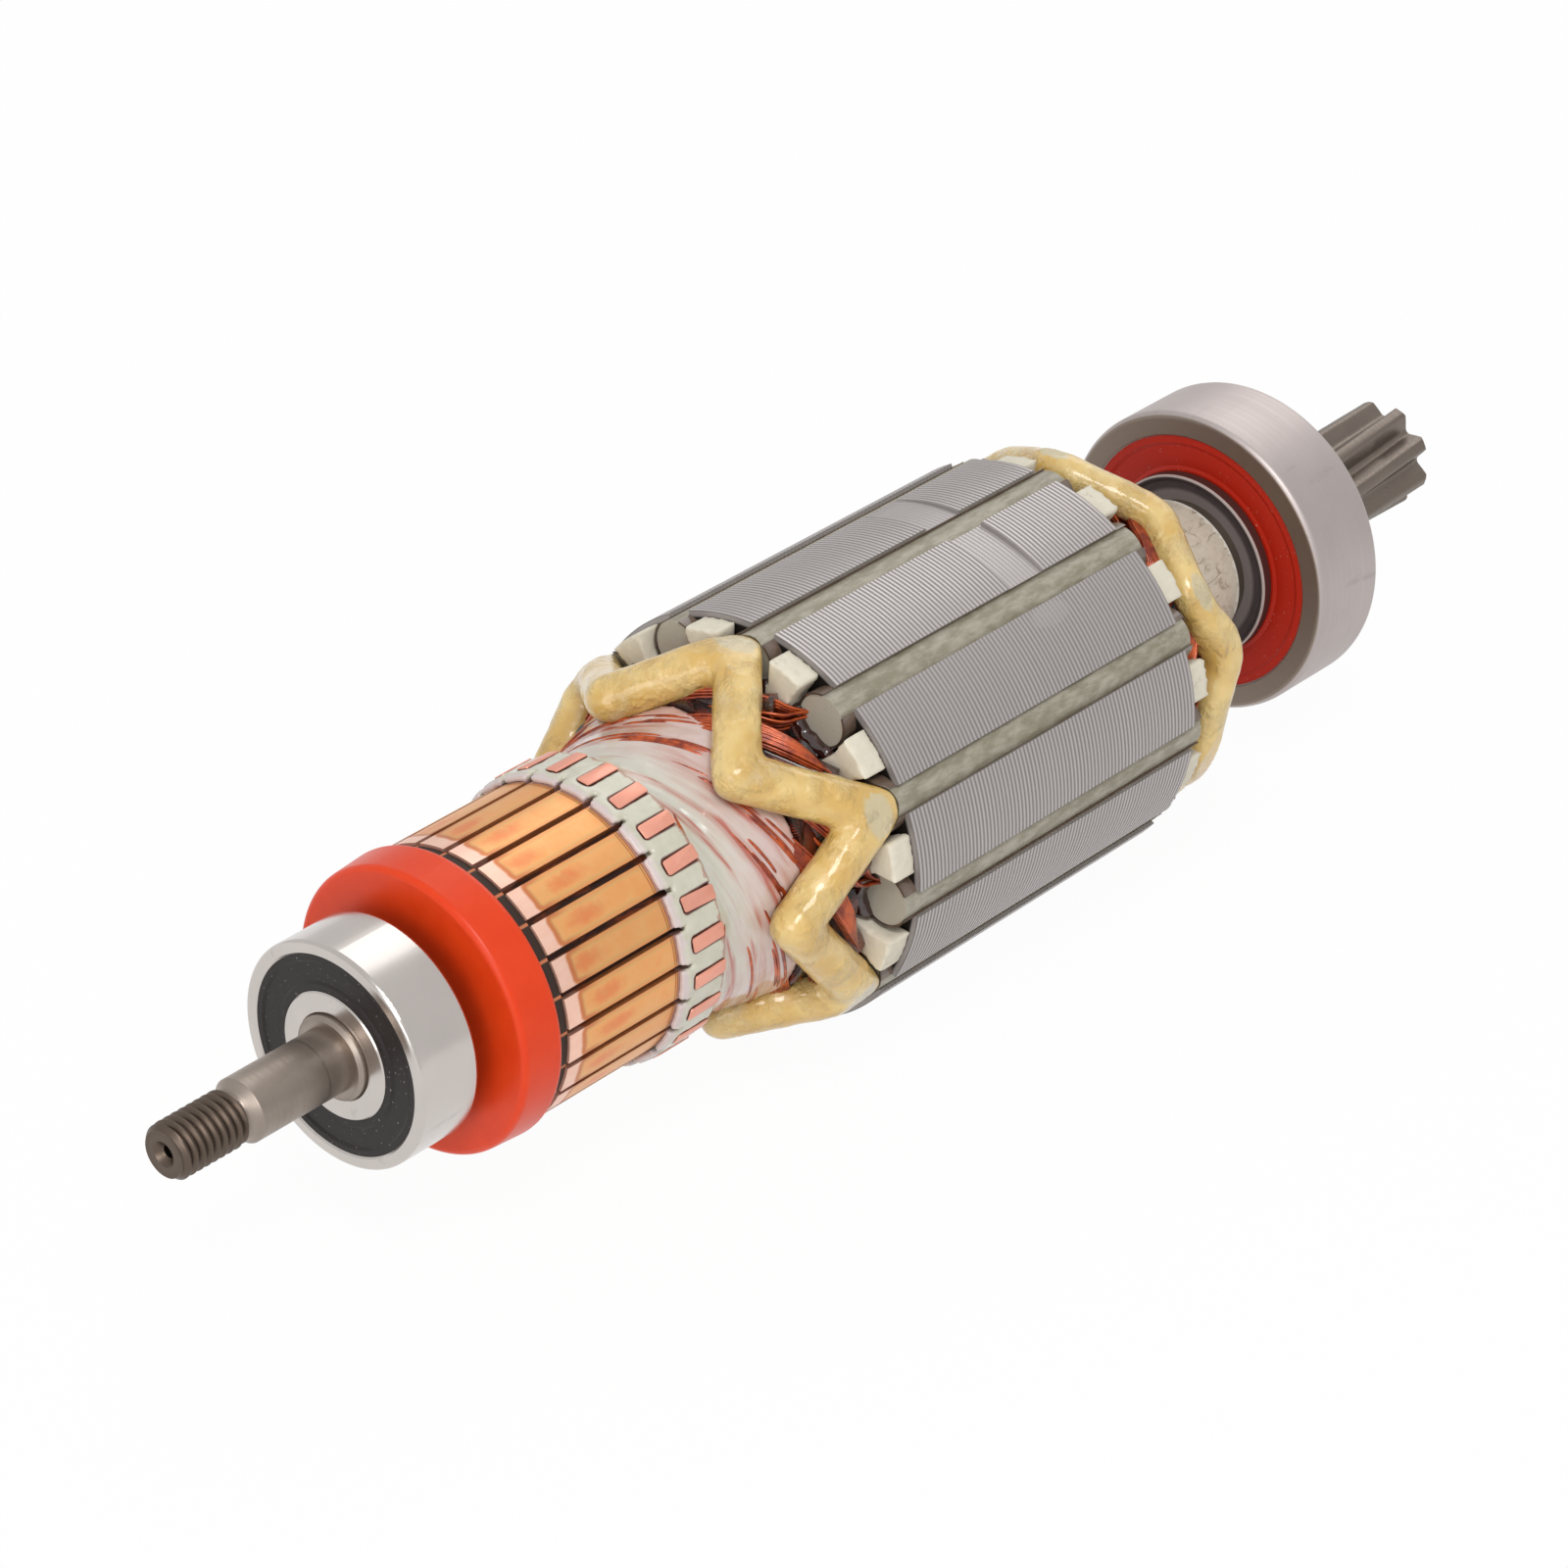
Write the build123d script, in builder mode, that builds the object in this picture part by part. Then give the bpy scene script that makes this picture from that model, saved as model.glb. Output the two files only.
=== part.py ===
"""Armature of a universal motor: shaft with pinion, two sealed ball bearings, commutator, wound core."""

import os
from math import asin, cos, radians, sin

from build123d import *

# The shaft runs along X with its threaded end at the low end. Z is up.
# The origin is on the shaft's axis at the middle of the core, and all sizes are in millimetres.

# Fits
press_gap = 0.03
seal_gap = 0.08
ball_gap = 0.02
pocket_gap = 0.12
cutter_reach = 3.0

# Core and slots
core_length = 60.0
core_radius = 30.0
slot_count = 12
slot_mouth = 4.1
wedge_share = 0.2415
slot_root_share = 0.129
insulator_slot_share = 0.592
wedge_depth = 4.2
wedge_overhang = 2.2
slot_reach = 9.2
liner_thickness = 0.3
liner_overhang = 4.2
coil_depth = 7.4
balance_width = 7.0
balance_place = 9.8
balance_depth = 0.5
balance_angle = 5.0
balance_half_span = 33.0

# End insulators
insulator_thickness = 4.2
insulator_step = 0.7

# Shaft
shaft_radius = 8.0
thread_radius = 3.95
thread_length = 11.5
thread_chamfer = 0.6
neck_radius = 3.7
neck_length = 1.5
spigot_radius = 4.5
spigot_length = 15.4
seat_proud = 1.0
seat_chamfer = 0.5
shoulder_radius = 7.6
collar_radius = 10.4
collar_length = 1.7
centre_hole_radius = 0.9
centre_hole_depth = 4.0
centre_sink_radius = 1.8

# Insulating sleeve round the shaft
sleeve_radius = 11.1
sleeve_show = 31.1

# Commutator
commutator_gap = 24.7
bar_count = 24
bar_length = 28.5
bar_radius = 20.0
bar_slot = 0.9
bar_slot_depth = 1.1
bar_depth = 5.4
dovetail_depth = 1.2
dovetail_width = 1.6
dovetail_neck = 1.0
hub_lip = 1.8
hub_lip_step = 0.4
tang_length = 5.9
tang_width = 2.1
tang_rise = 1.3
riser_length = 7.9
riser_rise = 0.9

# Insulating disc
disc_thickness = 6.8
disc_radius = 20.8
disc_draft = 0.5
disc_round = 0.9

# Front ball bearing
front_gap = 3.8
front_bore = 12.0
front_outside = 32.0
front_width = 10.0
front_ball = 5.95
front_land = 3.0
front_rim = 1.9
front_edge = 0.6

# Rear ball bearing and the ring in front of it
rear_bore = 17.0
rear_outside = 47.0
rear_width = 14.0
rear_ball = 8.73
rear_land = 4.8
rear_rim = 3.7
rear_edge = 1.0
ball_count = 7
shoulder_share = 0.32
cage_share = 0.22
seal_thickness = 0.9
seal_sink = 0.25
cage_wall = 0.45
spacer_radius = 14.3
spacer_thickness = 1.8
spacer_dish = 0.5
spacer_rim = 0.5

# Pinion cut on the shaft
pinion_length = 34.5
pinion_teeth = 8
pinion_radius = 8.2
pinion_root_radius = 5.1
pinion_phase = 13.0
pinion_lead = 600.0
pinion_chamfer = 0.3
tooth_tip_width = 1.7
tooth_middle_width = 3.1
tooth_root_width = 4.6
tooth_round = 0.8

# Winding overhangs, their coil bundles, and the resin cone over the leads
front_overhang_length = 9.0
front_crown_depth = 7.4
front_crown_place = 4.5
rear_overhang_length = 15.0
rear_crown_depth = 6.8
rear_crown_place = 5.0
rear_foot_radius = 14.0
rear_shoulder_place = 9.8
rear_shoulder_drop = 1.5
rear_bend_place = 13.5
rear_bend_drop = 6.0
overhang_slot_depth = 8.4
bundle_radius = 2.9
bundle_start = (-2.9, 9.4, 0)
bundle_end = (11.9, 9.4, 32)
crossing_radius = 2.0
crossing_start = (0.8, 5.8, 18)
crossing_end = (7.0, 9.2, -14)
resin_neck_step = 1.0
resin_neck_length = 3.6
resin_shoulder_depth = 7.6
lead_radius = 0.45
lead_cover = 0.75
lead_end_cover = 4.4
lead_turn = 30.0

# Lacing cords, whose corners are places along the shaft from the insulator's face outwards,
# depths below the core's surface, and angles from straight up towards the near side
front_cord_radius = 3.4
rear_cord_radius = 2.4
rear_corner = 5.0
lace_flat_depth = 0.4
front_corners = [
    (0.8, 2.0, 0),
    (14.0, 6.4, 31),
    (-0.5, 2.1, 60),
    (13.8, 6.4, 85),
    (0.5, 2.1, 120),
    (13.5, 8.2, 147),
    (0.8, 2.1, 180),
    (13.6, 6.6, 211),
    (0.4, 2.1, 240),
    (12.6, 7.2, 271),
    (1.0, 2.1, 300),
    (12.8, 5.9, 331),
]
rear_corners = [
    (3.0, 2.8, -8),
    (8.4, 4.6, 25),
    (3.4, 2.8, 52),
    (7.8, 3.8, 76),
    (3.4, 2.8, 108),
    (7.8, 4.2, 142),
    (3.2, 2.8, 172),
    (8.2, 4.2, 205),
    (3.0, 2.8, 232),
    (7.8, 4.0, 264),
    (3.4, 2.8, 292),
    (8.2, 4.2, 322),
]

# Widths and radii that follow from those sizes, the slots' widths as shares of their pitch
slot_pitch = 2 * core_radius * sin(radians(180 / slot_count))
wedge_radius = wedge_share * slot_pitch
slot_root_radius = slot_root_share * slot_pitch
insulator_slot = insulator_slot_share * slot_pitch
wedge_centre = core_radius - wedge_depth
slot_root_centre = wedge_centre - slot_reach
insulator_radius = core_radius - insulator_step
overhang_slot_radius = core_radius - overhang_slot_depth
resin_shoulder_radius = core_radius - resin_shoulder_depth
resin_neck_radius = bar_radius - resin_neck_step
slot_floor_radius = bar_radius - bar_slot_depth
bar_root_radius = bar_radius - bar_depth
tang_radius = bar_radius + tang_rise
riser_radius = bar_radius + riser_rise
sleeve_bore = sleeve_radius + press_gap

# Places along the shaft, stacked outwards from the core's two ends
core_front = -core_length / 2
core_rear = core_length / 2
insulator_front = core_front - insulator_thickness
insulator_rear = core_rear + insulator_thickness
bars_rear = insulator_front - commutator_gap
bars_front = bars_rear - bar_length
hub_front = bars_front - hub_lip
disc_front = hub_front - disc_thickness
front_bearing_back = disc_front - front_gap
front_bearing_face = front_bearing_back - front_width
seat_front = front_bearing_face - seat_proud
spigot_front = seat_front - spigot_length
neck_front = spigot_front - neck_length
shaft_front = neck_front - thread_length
sleeve_rear = insulator_rear + sleeve_show
spacer_front = sleeve_rear + collar_length
rear_bearing_face = spacer_front + spacer_thickness
rear_bearing_back = rear_bearing_face + rear_width
shaft_rear = rear_bearing_back + pinion_length

os.makedirs("parts", exist_ok=True)


def across(x, turn=0):
    """A plane square to the shaft at x, seen from the pinion's end, with its x axis turned up from Y."""
    return Plane(origin=(x, 0, 0), x_dir=(0, cos(radians(turn)), sin(radians(turn))), z_dir=(1, 0, 0))


def revolved(points):
    """A solid turned about the shaft from an outline of (x, radius) points."""
    with BuildPart() as turned:
        with BuildSketch(Plane.XZ):
            with BuildLine():
                Polyline(*points, close=True)
            make_face()
        revolve(axis=Axis.X)
    return turned.part


def save(piece, label):
    """Names a finished piece and writes it to its own file."""
    piece.label = label
    export_step(piece, f"parts/{label}.step")


def polar(radius, angle):
    """A point across the shaft, at an angle counted from straight up towards the near side."""
    return (-radius * sin(radians(angle)), radius * cos(radians(angle)))


# Slot outlines, drawn once with the slot's mouth along the sketch's x axis
slot_round = wedge_radius + liner_thickness + 2 * press_gap


def pear(top_radius, root_radius):
    """The round-bottomed slot shape that the core, the liners and the coils share."""
    with BuildSketch() as shape:
        with Locations((wedge_centre, 0)):
            Circle(top_radius)
        with Locations((slot_root_centre, 0)):
            Circle(root_radius)
        make_hull()
    return shape.sketch


with BuildSketch() as core_slot:
    add(pear(slot_round, slot_root_radius))
    with Locations((wedge_centre, 0)):
        Rectangle(wedge_depth + cutter_reach, slot_mouth, align=(Align.MIN, Align.CENTER))

with BuildSketch() as insulator_notch:
    add(pear(insulator_slot / 2, slot_root_radius))
    with Locations((wedge_centre, 0)):
        Rectangle(wedge_depth + cutter_reach, insulator_slot, align=(Align.MIN, Align.CENTER))

with BuildSketch() as liner_section:
    add(pear(slot_round - press_gap, slot_root_radius - press_gap))
    add(
        pear(slot_round - press_gap - liner_thickness, slot_root_radius - press_gap - liner_thickness),
        mode=Mode.SUBTRACT,
    )
    with Locations((wedge_centre, 0)):
        Rectangle(core_radius, slot_mouth, align=(Align.MIN, Align.CENTER), mode=Mode.SUBTRACT)

with BuildSketch() as coil_section:
    coil_inset = 2 * press_gap + liner_thickness
    add(pear(slot_round - coil_inset, slot_root_radius - coil_inset))
    with Locations((wedge_centre, 0)):
        Circle(wedge_radius + press_gap, mode=Mode.SUBTRACT)
    with Locations((core_radius - coil_depth, 0)):
        Rectangle(core_radius, core_radius, align=(Align.MIN, Align.CENTER), mode=Mode.SUBTRACT)

# Lacing cords, flattened where they stand out most


def corner_point(end_face, outward, corner):
    """The place in space of one of a cord's corners."""
    station, depth, angle = corner
    y, z = polar(core_radius - depth, angle)
    return Vector(end_face + outward * station, y, z)


with BuildPart() as lace_limit:
    with BuildSketch(across(insulator_front * 2)):
        Circle(core_radius * 2)
        Circle(core_radius - lace_flat_depth, mode=Mode.SUBTRACT)
    extrude(amount=(insulator_rear - insulator_front) * 2)

# The front cord is pulled tight round the coils, so it runs straight and folds sharply at each corner
front_points = [corner_point(insulator_front, -1, corner) for corner in front_corners]
with BuildPart() as front_cord:
    for here, there in zip(front_points, front_points[1:] + front_points[:1]):
        with BuildSketch(Plane(origin=here, z_dir=there - here)):
            Circle(front_cord_radius)
        extrude(amount=(there - here).length)
    with Locations(*front_points):
        Sphere(front_cord_radius)
    add(lace_limit.part, mode=Mode.SUBTRACT)
save(front_cord.part, "front_lacing_cord")

# The rear cord is thinner and waves gently, in two half turns that meet face to face
rear_points = [corner_point(insulator_rear, 1, corner) for corner in rear_corners]
rear_points += rear_points[:1]
half_count = len(rear_corners) // 2
middles = [(here + there) * 0.5 for here, there in zip(rear_points, rear_points[1:])]
with BuildPart() as rear_cord:
    for first in (0, half_count):
        last = (first + half_count) % len(rear_corners)
        between = [rear_points[n % len(rear_corners)] for n in range(first + 1, first + half_count + 1)]
        with BuildLine() as route:
            FilletPolyline(middles[first], *between, middles[last], radius=rear_corner)
        with BuildSketch(Plane(origin=route.line @ 0, z_dir=route.line % 0)):
            Circle(rear_cord_radius)
        sweep(path=route.line)
    add(lace_limit.part, mode=Mode.SUBTRACT)
save(rear_cord.part, "rear_lacing_cord")

# Core
with BuildPart() as core_stack:
    with BuildSketch(across(core_front)):
        Circle(core_radius)
        Circle(sleeve_bore, mode=Mode.SUBTRACT)
        with PolarLocations(0, slot_count, start_angle=90):
            add(core_slot.sketch, mode=Mode.SUBTRACT)
    extrude(amount=core_length)
    # The balance band is milled along a circle that is wider than the core and set off behind it
    chord = cos(radians(balance_half_span))
    balance_offset = (
        (core_radius**2 - (core_radius - balance_depth) ** 2) / 2 / (core_radius - balance_depth - core_radius * chord)
    )
    y, z = polar(-balance_offset, balance_angle)
    with BuildSketch(across(balance_place - balance_width / 2)):
        with Locations((y, z)):
            Circle(core_radius + balance_offset + cutter_reach)
            Circle(core_radius - balance_depth + balance_offset, mode=Mode.SUBTRACT)
    extrude(amount=balance_width, mode=Mode.SUBTRACT)
save(core_stack.part, "core_stack")

# End insulators, notched like the core but with open slots
for name, start, cord in (
    ("front_end_insulator", insulator_front, front_cord),
    ("rear_end_insulator", core_rear, rear_cord),
):
    with BuildPart() as insulator:
        with BuildSketch(across(start)):
            Circle(insulator_radius)
            Circle(sleeve_bore, mode=Mode.SUBTRACT)
            with PolarLocations(0, slot_count, start_angle=90):
                add(insulator_notch.sketch, mode=Mode.SUBTRACT)
        extrude(amount=insulator_thickness)
        add(cord.part, mode=Mode.SUBTRACT)
    save(insulator.part, name)

# Slot liners, coil sides and wedges
with BuildPart() as slot_liners:
    with BuildSketch(across(core_front - liner_overhang)):
        with PolarLocations(0, slot_count, start_angle=90):
            add(liner_section.sketch)
    extrude(amount=core_length + 2 * liner_overhang)
    add(front_cord.part, mode=Mode.SUBTRACT)
    add(rear_cord.part, mode=Mode.SUBTRACT)
save(slot_liners.part, "slot_liners")

with BuildPart() as slot_coils:
    with BuildSketch(across(insulator_front)):
        with PolarLocations(0, slot_count, start_angle=90):
            add(coil_section.sketch)
    extrude(amount=core_length + 2 * insulator_thickness)
save(slot_coils.part, "slot_coils")

with BuildPart() as slot_wedges:
    with BuildSketch(across(core_front - wedge_overhang)):
        with PolarLocations(wedge_centre, slot_count, start_angle=90):
            Circle(wedge_radius)
    extrude(amount=core_length + 2 * wedge_overhang)
    add(front_cord.part, mode=Mode.SUBTRACT)
    add(rear_cord.part, mode=Mode.SUBTRACT)
save(slot_wedges.part, "slot_wedges")

# Winding overhangs: a body of crossed turns with the coil bundles slanting out of the slots,
# bedded round the cords that hold them


def slanting_rod(face, outward, radius, start, end):
    """A round rod between two (place, depth, angle) points, drawn beside the slot at the sketch's x axis."""
    ends = [
        Vector(
            (core_radius - depth) * cos(radians(angle)),
            (core_radius - depth) * sin(radians(angle)),
            face + outward * place,
        )
        for place, depth, angle in (start, end)
    ]
    with BuildPart() as rod:
        with BuildSketch(Plane(origin=ends[0], z_dir=ends[1] - ends[0])):
            Circle(radius)
        extrude(amount=(ends[1] - ends[0]).length)
    return rod.part


def overhang(face, outward, outline, cord):
    """One winding overhang, where the outline runs outwards from the insulator's face."""
    with BuildPart() as body:
        add(revolved([(face + outward * place, radius) for place, radius in outline]))
        with Locations(across(0)):
            with PolarLocations(0, slot_count, start_angle=90):
                add(slanting_rod(face, outward, bundle_radius, bundle_start, bundle_end))
                add(slanting_rod(face, outward, crossing_radius, crossing_start, crossing_end))
        with BuildSketch(across(face)):
            Circle(core_radius)
            Circle(sleeve_bore, mode=Mode.SUBTRACT)
        extrude(amount=outward * outline[-1][0], mode=Mode.INTERSECT)
        add(cord.part, mode=Mode.SUBTRACT)
    return body.part


front_outline = [
    (0, sleeve_bore),
    (0, overhang_slot_radius),
    (front_crown_place, core_radius - front_crown_depth),
    (front_overhang_length, core_radius - front_crown_depth),
    (front_overhang_length, sleeve_bore),
]
front_overhang = overhang(insulator_front, -1, front_outline, front_cord)
save(front_overhang, "front_winding_overhang")

rear_outline = [
    (0, sleeve_bore),
    (0, overhang_slot_radius),
    (rear_crown_place, core_radius - rear_crown_depth),
    (rear_shoulder_place, core_radius - rear_crown_depth - rear_shoulder_drop),
    (rear_bend_place, core_radius - rear_crown_depth - rear_bend_drop),
    (rear_overhang_length, rear_foot_radius),
    (rear_overhang_length, sleeve_bore),
]
rear_overhang = overhang(insulator_rear, 1, rear_outline, rear_cord)
save(rear_overhang, "rear_winding_overhang")

# Leads from the coils to the commutator's risers, and the resin cast over them
overhang_front = insulator_front - front_overhang_length
lead_length = overhang_front - bars_rear
lead_start = (0, core_radius - resin_neck_radius + lead_cover, 0)
lead_end = (lead_length, core_radius - resin_shoulder_radius + lead_end_cover, lead_turn)
lead = slanting_rod(bars_rear, 1, lead_radius, lead_start, lead_end)

with BuildPart() as winding_leads:
    with Locations(across(0)):
        with PolarLocations(0, bar_count, start_angle=90):
            add(lead)
    with BuildSketch(across(bars_rear)):
        Circle(core_radius)
    extrude(amount=lead_length, mode=Mode.INTERSECT)
    add(front_cord.part, mode=Mode.SUBTRACT)
save(winding_leads.part, "winding_leads")

with BuildPart() as lead_resin:
    add(
        revolved(
            [
                (overhang_front, sleeve_bore),
                (overhang_front, resin_shoulder_radius),
                (bars_rear + resin_neck_length, resin_neck_radius),
                (bars_rear, resin_neck_radius),
                (bars_rear, sleeve_bore),
            ]
        )
    )
    add(front_cord.part, mode=Mode.SUBTRACT)
    add(winding_leads.part, mode=Mode.SUBTRACT)
save(lead_resin.part, "lead_resin")

# Sleeve that insulates the shaft
sleeve = revolved(
    [
        (bars_rear, shaft_radius + press_gap),
        (bars_rear, sleeve_radius),
        (sleeve_rear, sleeve_radius),
        (sleeve_rear, shaft_radius + press_gap),
    ]
)
save(sleeve, "shaft_insulation_sleeve")

# Commutator: bars with dovetail feet in a moulded hub, and a riser tang on each bar
bar_pitch = 360 / bar_count


def bar_corner(radius):
    """Where a bar's side, parallel to the middle of the slot beside it, meets a radius."""
    angle = radians(bar_pitch / 2) - asin(bar_slot / 2 / radius)
    return (radius * cos(angle), radius * sin(angle))


with BuildSketch() as bar_section:
    with BuildLine():
        top = bar_corner(bar_radius)
        foot = bar_corner(bar_root_radius)
        side = Polyline(
            top,
            foot,
            (foot[0], dovetail_neck / 2),
            (foot[0] - dovetail_depth, dovetail_width / 2),
            (foot[0] - dovetail_depth, 0),
        )
        mirror(side, about=Plane.XZ)
        ThreePointArc(top, (bar_radius, 0), (top[0], -top[1]))
    make_face()

with BuildPart() as commutator_bars:
    with BuildSketch(across(bars_front)):
        with PolarLocations(0, bar_count, start_angle=90):
            add(bar_section.sketch)
    extrude(amount=bar_length)
    with BuildSketch(across(bars_rear)):
        with PolarLocations(slot_floor_radius, bar_count, start_angle=90):
            Rectangle(bar_slot_depth + tang_rise, tang_width, align=(Align.MIN, Align.CENTER))
    extrude(amount=-tang_length)
save(commutator_bars.part, "commutator_bars")

with BuildPart() as commutator_hub:
    with BuildSketch(across(bars_front)):
        Circle(slot_floor_radius)
        Circle(shaft_radius + press_gap, mode=Mode.SUBTRACT)
        with PolarLocations(0, bar_count, start_angle=90):
            add(bar_section.sketch, mode=Mode.SUBTRACT)
    extrude(amount=bar_length)
    with BuildSketch(across(hub_front)):
        Circle(bar_radius - hub_lip_step)
        Circle(shaft_radius + press_gap, mode=Mode.SUBTRACT)
    extrude(amount=hub_lip)
save(commutator_hub.part, "commutator_hub")

with BuildPart() as riser_resin:
    with BuildSketch(across(bars_rear - riser_length)):
        Circle(riser_radius)
        Circle(bar_radius, mode=Mode.SUBTRACT)
        with PolarLocations(bar_radius - bar_slot, bar_count, start_angle=90 + bar_pitch / 2):
            Rectangle(bar_radius, bar_slot, align=(Align.MIN, Align.CENTER), mode=Mode.SUBTRACT)
    extrude(amount=riser_length - tang_length)
    with BuildSketch(across(bars_rear - tang_length)):
        Circle(riser_radius)
        Circle(bar_radius, mode=Mode.SUBTRACT)
        with PolarLocations(slot_floor_radius, bar_count, start_angle=90 + bar_pitch / 2):
            Rectangle(bar_slot_depth + riser_rise / 2, bar_slot, align=(Align.MIN, Align.CENTER))
        with PolarLocations(bar_radius - bar_slot, bar_count, start_angle=90):
            Rectangle(bar_radius, tang_width, align=(Align.MIN, Align.CENTER), mode=Mode.SUBTRACT)
    extrude(amount=tang_length)
save(riser_resin.part, "riser_resin")

# Insulating disc in front of the commutator, with a well rounded front edge
disc_bore = shoulder_radius + press_gap
with BuildPart() as insulating_disc:
    add(
        revolved(
            [
                (disc_front, disc_bore),
                (disc_front, disc_radius - disc_draft),
                (hub_front, disc_radius),
                (hub_front, disc_bore),
            ]
        )
    )
    rims = insulating_disc.edges().filter_by(GeomType.CIRCLE)
    fillet(rims.filter_by(lambda rim: rim.radius > disc_radius - 2 * disc_draft), disc_round)
save(insulating_disc.part, "insulating_disc")

# Shaft and pinion in one piece
with BuildSketch() as tooth:
    base = pinion_root_radius - tooth_round
    middle_radius = (pinion_root_radius + pinion_radius) / 2
    with BuildLine():
        ThreePointArc(
            (base, tooth_root_width / 2),
            (middle_radius, tooth_middle_width / 2),
            (pinion_radius, tooth_tip_width / 2),
        )
        Line((pinion_radius, tooth_tip_width / 2), (pinion_radius, 0))
        Line((base, tooth_root_width / 2), (base, 0))
        mirror(about=Plane.XZ)
    make_face()

with BuildSketch() as pinion_section:
    Circle(pinion_root_radius)
    with PolarLocations(0, pinion_teeth):
        add(tooth.sketch)
    fillet(pinion_section.vertices(), tooth_round)

with BuildPart() as shaft:
    add(
        revolved(
            [
                (shaft_front, 0),
                (shaft_front, thread_radius - thread_chamfer),
                (shaft_front + thread_chamfer, thread_radius),
                (neck_front, thread_radius),
                (neck_front, neck_radius),
                (spigot_front - (spigot_radius - neck_radius), neck_radius),
                (spigot_front, spigot_radius),
                (seat_front, spigot_radius),
                (seat_front, front_bore / 2 - press_gap - seat_chamfer),
                (seat_front + seat_chamfer, front_bore / 2 - press_gap),
                (front_bearing_back, front_bore / 2 - press_gap),
                (front_bearing_back, shoulder_radius),
                (hub_front, shoulder_radius),
                (hub_front, shaft_radius),
                (sleeve_rear, shaft_radius),
                (sleeve_rear, collar_radius),
                (spacer_front + spacer_dish, collar_radius),
                (spacer_front + spacer_dish, rear_bore / 2 - press_gap),
                (rear_bearing_back, rear_bore / 2 - press_gap),
                (rear_bearing_back, 0),
            ]
        )
    )
    with BuildSketch(Plane.XZ):
        with BuildLine():
            Polyline(
                (shaft_front, 0),
                (shaft_front, centre_sink_radius),
                (shaft_front + centre_sink_radius - centre_hole_radius, centre_hole_radius),
                (shaft_front + centre_hole_depth, centre_hole_radius),
                (shaft_front + centre_hole_depth + centre_hole_radius / 2, 0),
                close=True,
            )
        make_face()
    revolve(axis=Axis.X, mode=Mode.SUBTRACT)
    for n in range(5):
        ahead = pinion_length * n / 4
        turn = 90 + pinion_phase + 360 * (pinion_length - ahead) / pinion_lead
        with BuildSketch(across(rear_bearing_back + ahead, turn)):
            add(pinion_section.sketch)
    loft()
    add(
        revolved(
            [
                (shaft_rear - pinion_chamfer, pinion_radius),
                (shaft_rear, pinion_radius - pinion_chamfer),
                (shaft_rear, pinion_radius + pinion_chamfer),
                (shaft_rear - pinion_chamfer, pinion_radius + pinion_chamfer),
            ]
        ),
        mode=Mode.SUBTRACT,
    )
save(shaft.part, "shaft")


def ball_bearing(prefix, face, bore, outside, width, ball, land, rim, edge):
    """One sealed deep-groove bearing, as its rings, balls, cage and two seals."""
    middle = face + width / 2
    pitch = (bore + outside) / 4
    race = ball / 2 + ball_gap
    pocket = ball / 2 + pocket_gap
    land_inside = bore / 2 + land
    seal_inside = land_inside + seal_gap
    seal_outside = outside / 2 - rim
    land_outside = pitch + shoulder_share * ball
    recess = seal_sink + seal_thickness

    with BuildPart() as inner_ring:
        add(
            revolved(
                [
                    (face, bore / 2),
                    (face, land_inside),
                    (face + width, land_inside),
                    (face + width, bore / 2),
                ]
            )
        )
        chamfer(inner_ring.edges().filter_by(GeomType.CIRCLE), edge / 3)
        with Locations(Plane(origin=(middle, 0, 0), z_dir=(1, 0, 0))):
            Torus(pitch, race, mode=Mode.SUBTRACT)
    save(inner_ring.part, f"{prefix}_inner_ring")

    with BuildPart() as outer_ring:
        add(
            revolved(
                [
                    (face, outside / 2),
                    (face, seal_outside + seal_sink),
                    (face + seal_sink, seal_outside),
                    (face + recess, seal_outside),
                    (face + recess, land_outside),
                    (face + width - recess, land_outside),
                    (face + width - recess, seal_outside),
                    (face + width - seal_sink, seal_outside),
                    (face + width, seal_outside + seal_sink),
                    (face + width, outside / 2),
                ]
            )
        )
        fillet(outer_ring.edges().filter_by(GeomType.CIRCLE).group_by(SortBy.RADIUS)[-1], edge)
        with Locations(Plane(origin=(middle, 0, 0), z_dir=(1, 0, 0))):
            Torus(pitch, race, mode=Mode.SUBTRACT)
    save(outer_ring.part, f"{prefix}_outer_ring")

    with BuildPart() as balls:
        with Locations(across(middle)):
            with PolarLocations(pitch, ball_count, start_angle=90):
                Sphere(ball / 2)
    save(balls.part, f"{prefix}_balls")

    with BuildPart() as cage:
        with BuildSketch(across(middle - pocket - cage_wall)):
            Circle(pitch + cage_share * ball)
            Circle(pitch - cage_share * ball, mode=Mode.SUBTRACT)
        extrude(amount=pocket + cage_wall + cage_share * ball)
        with Locations(across(middle)):
            with PolarLocations(pitch, ball_count, start_angle=90):
                Sphere(pocket, mode=Mode.SUBTRACT)
    save(cage.part, f"{prefix}_cage")

    for name, start, inward in (("front", face + seal_sink, 1), ("rear", face + width - seal_sink, -1)):
        third = (seal_outside - seal_inside) / 6
        seal = revolved(
            [
                (start, seal_inside),
                (start, seal_inside + third),
                (start + inward * seal_thickness / 4, seal_inside + 1.5 * third),
                (start + inward * seal_thickness / 4, seal_outside - 1.5 * third),
                (start, seal_outside - third),
                (start, seal_outside - press_gap),
                (start + inward * seal_thickness, seal_outside - press_gap),
                (start + inward * seal_thickness, seal_inside),
            ]
        )
        save(seal, f"{prefix}_{name}_seal")


ball_bearing(
    "front_bearing",
    front_bearing_face,
    front_bore,
    front_outside,
    front_width,
    front_ball,
    front_land,
    front_rim,
    front_edge,
)
ball_bearing(
    "rear_bearing",
    rear_bearing_face,
    rear_bore,
    rear_outside,
    rear_width,
    rear_ball,
    rear_land,
    rear_rim,
    rear_edge,
)

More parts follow.
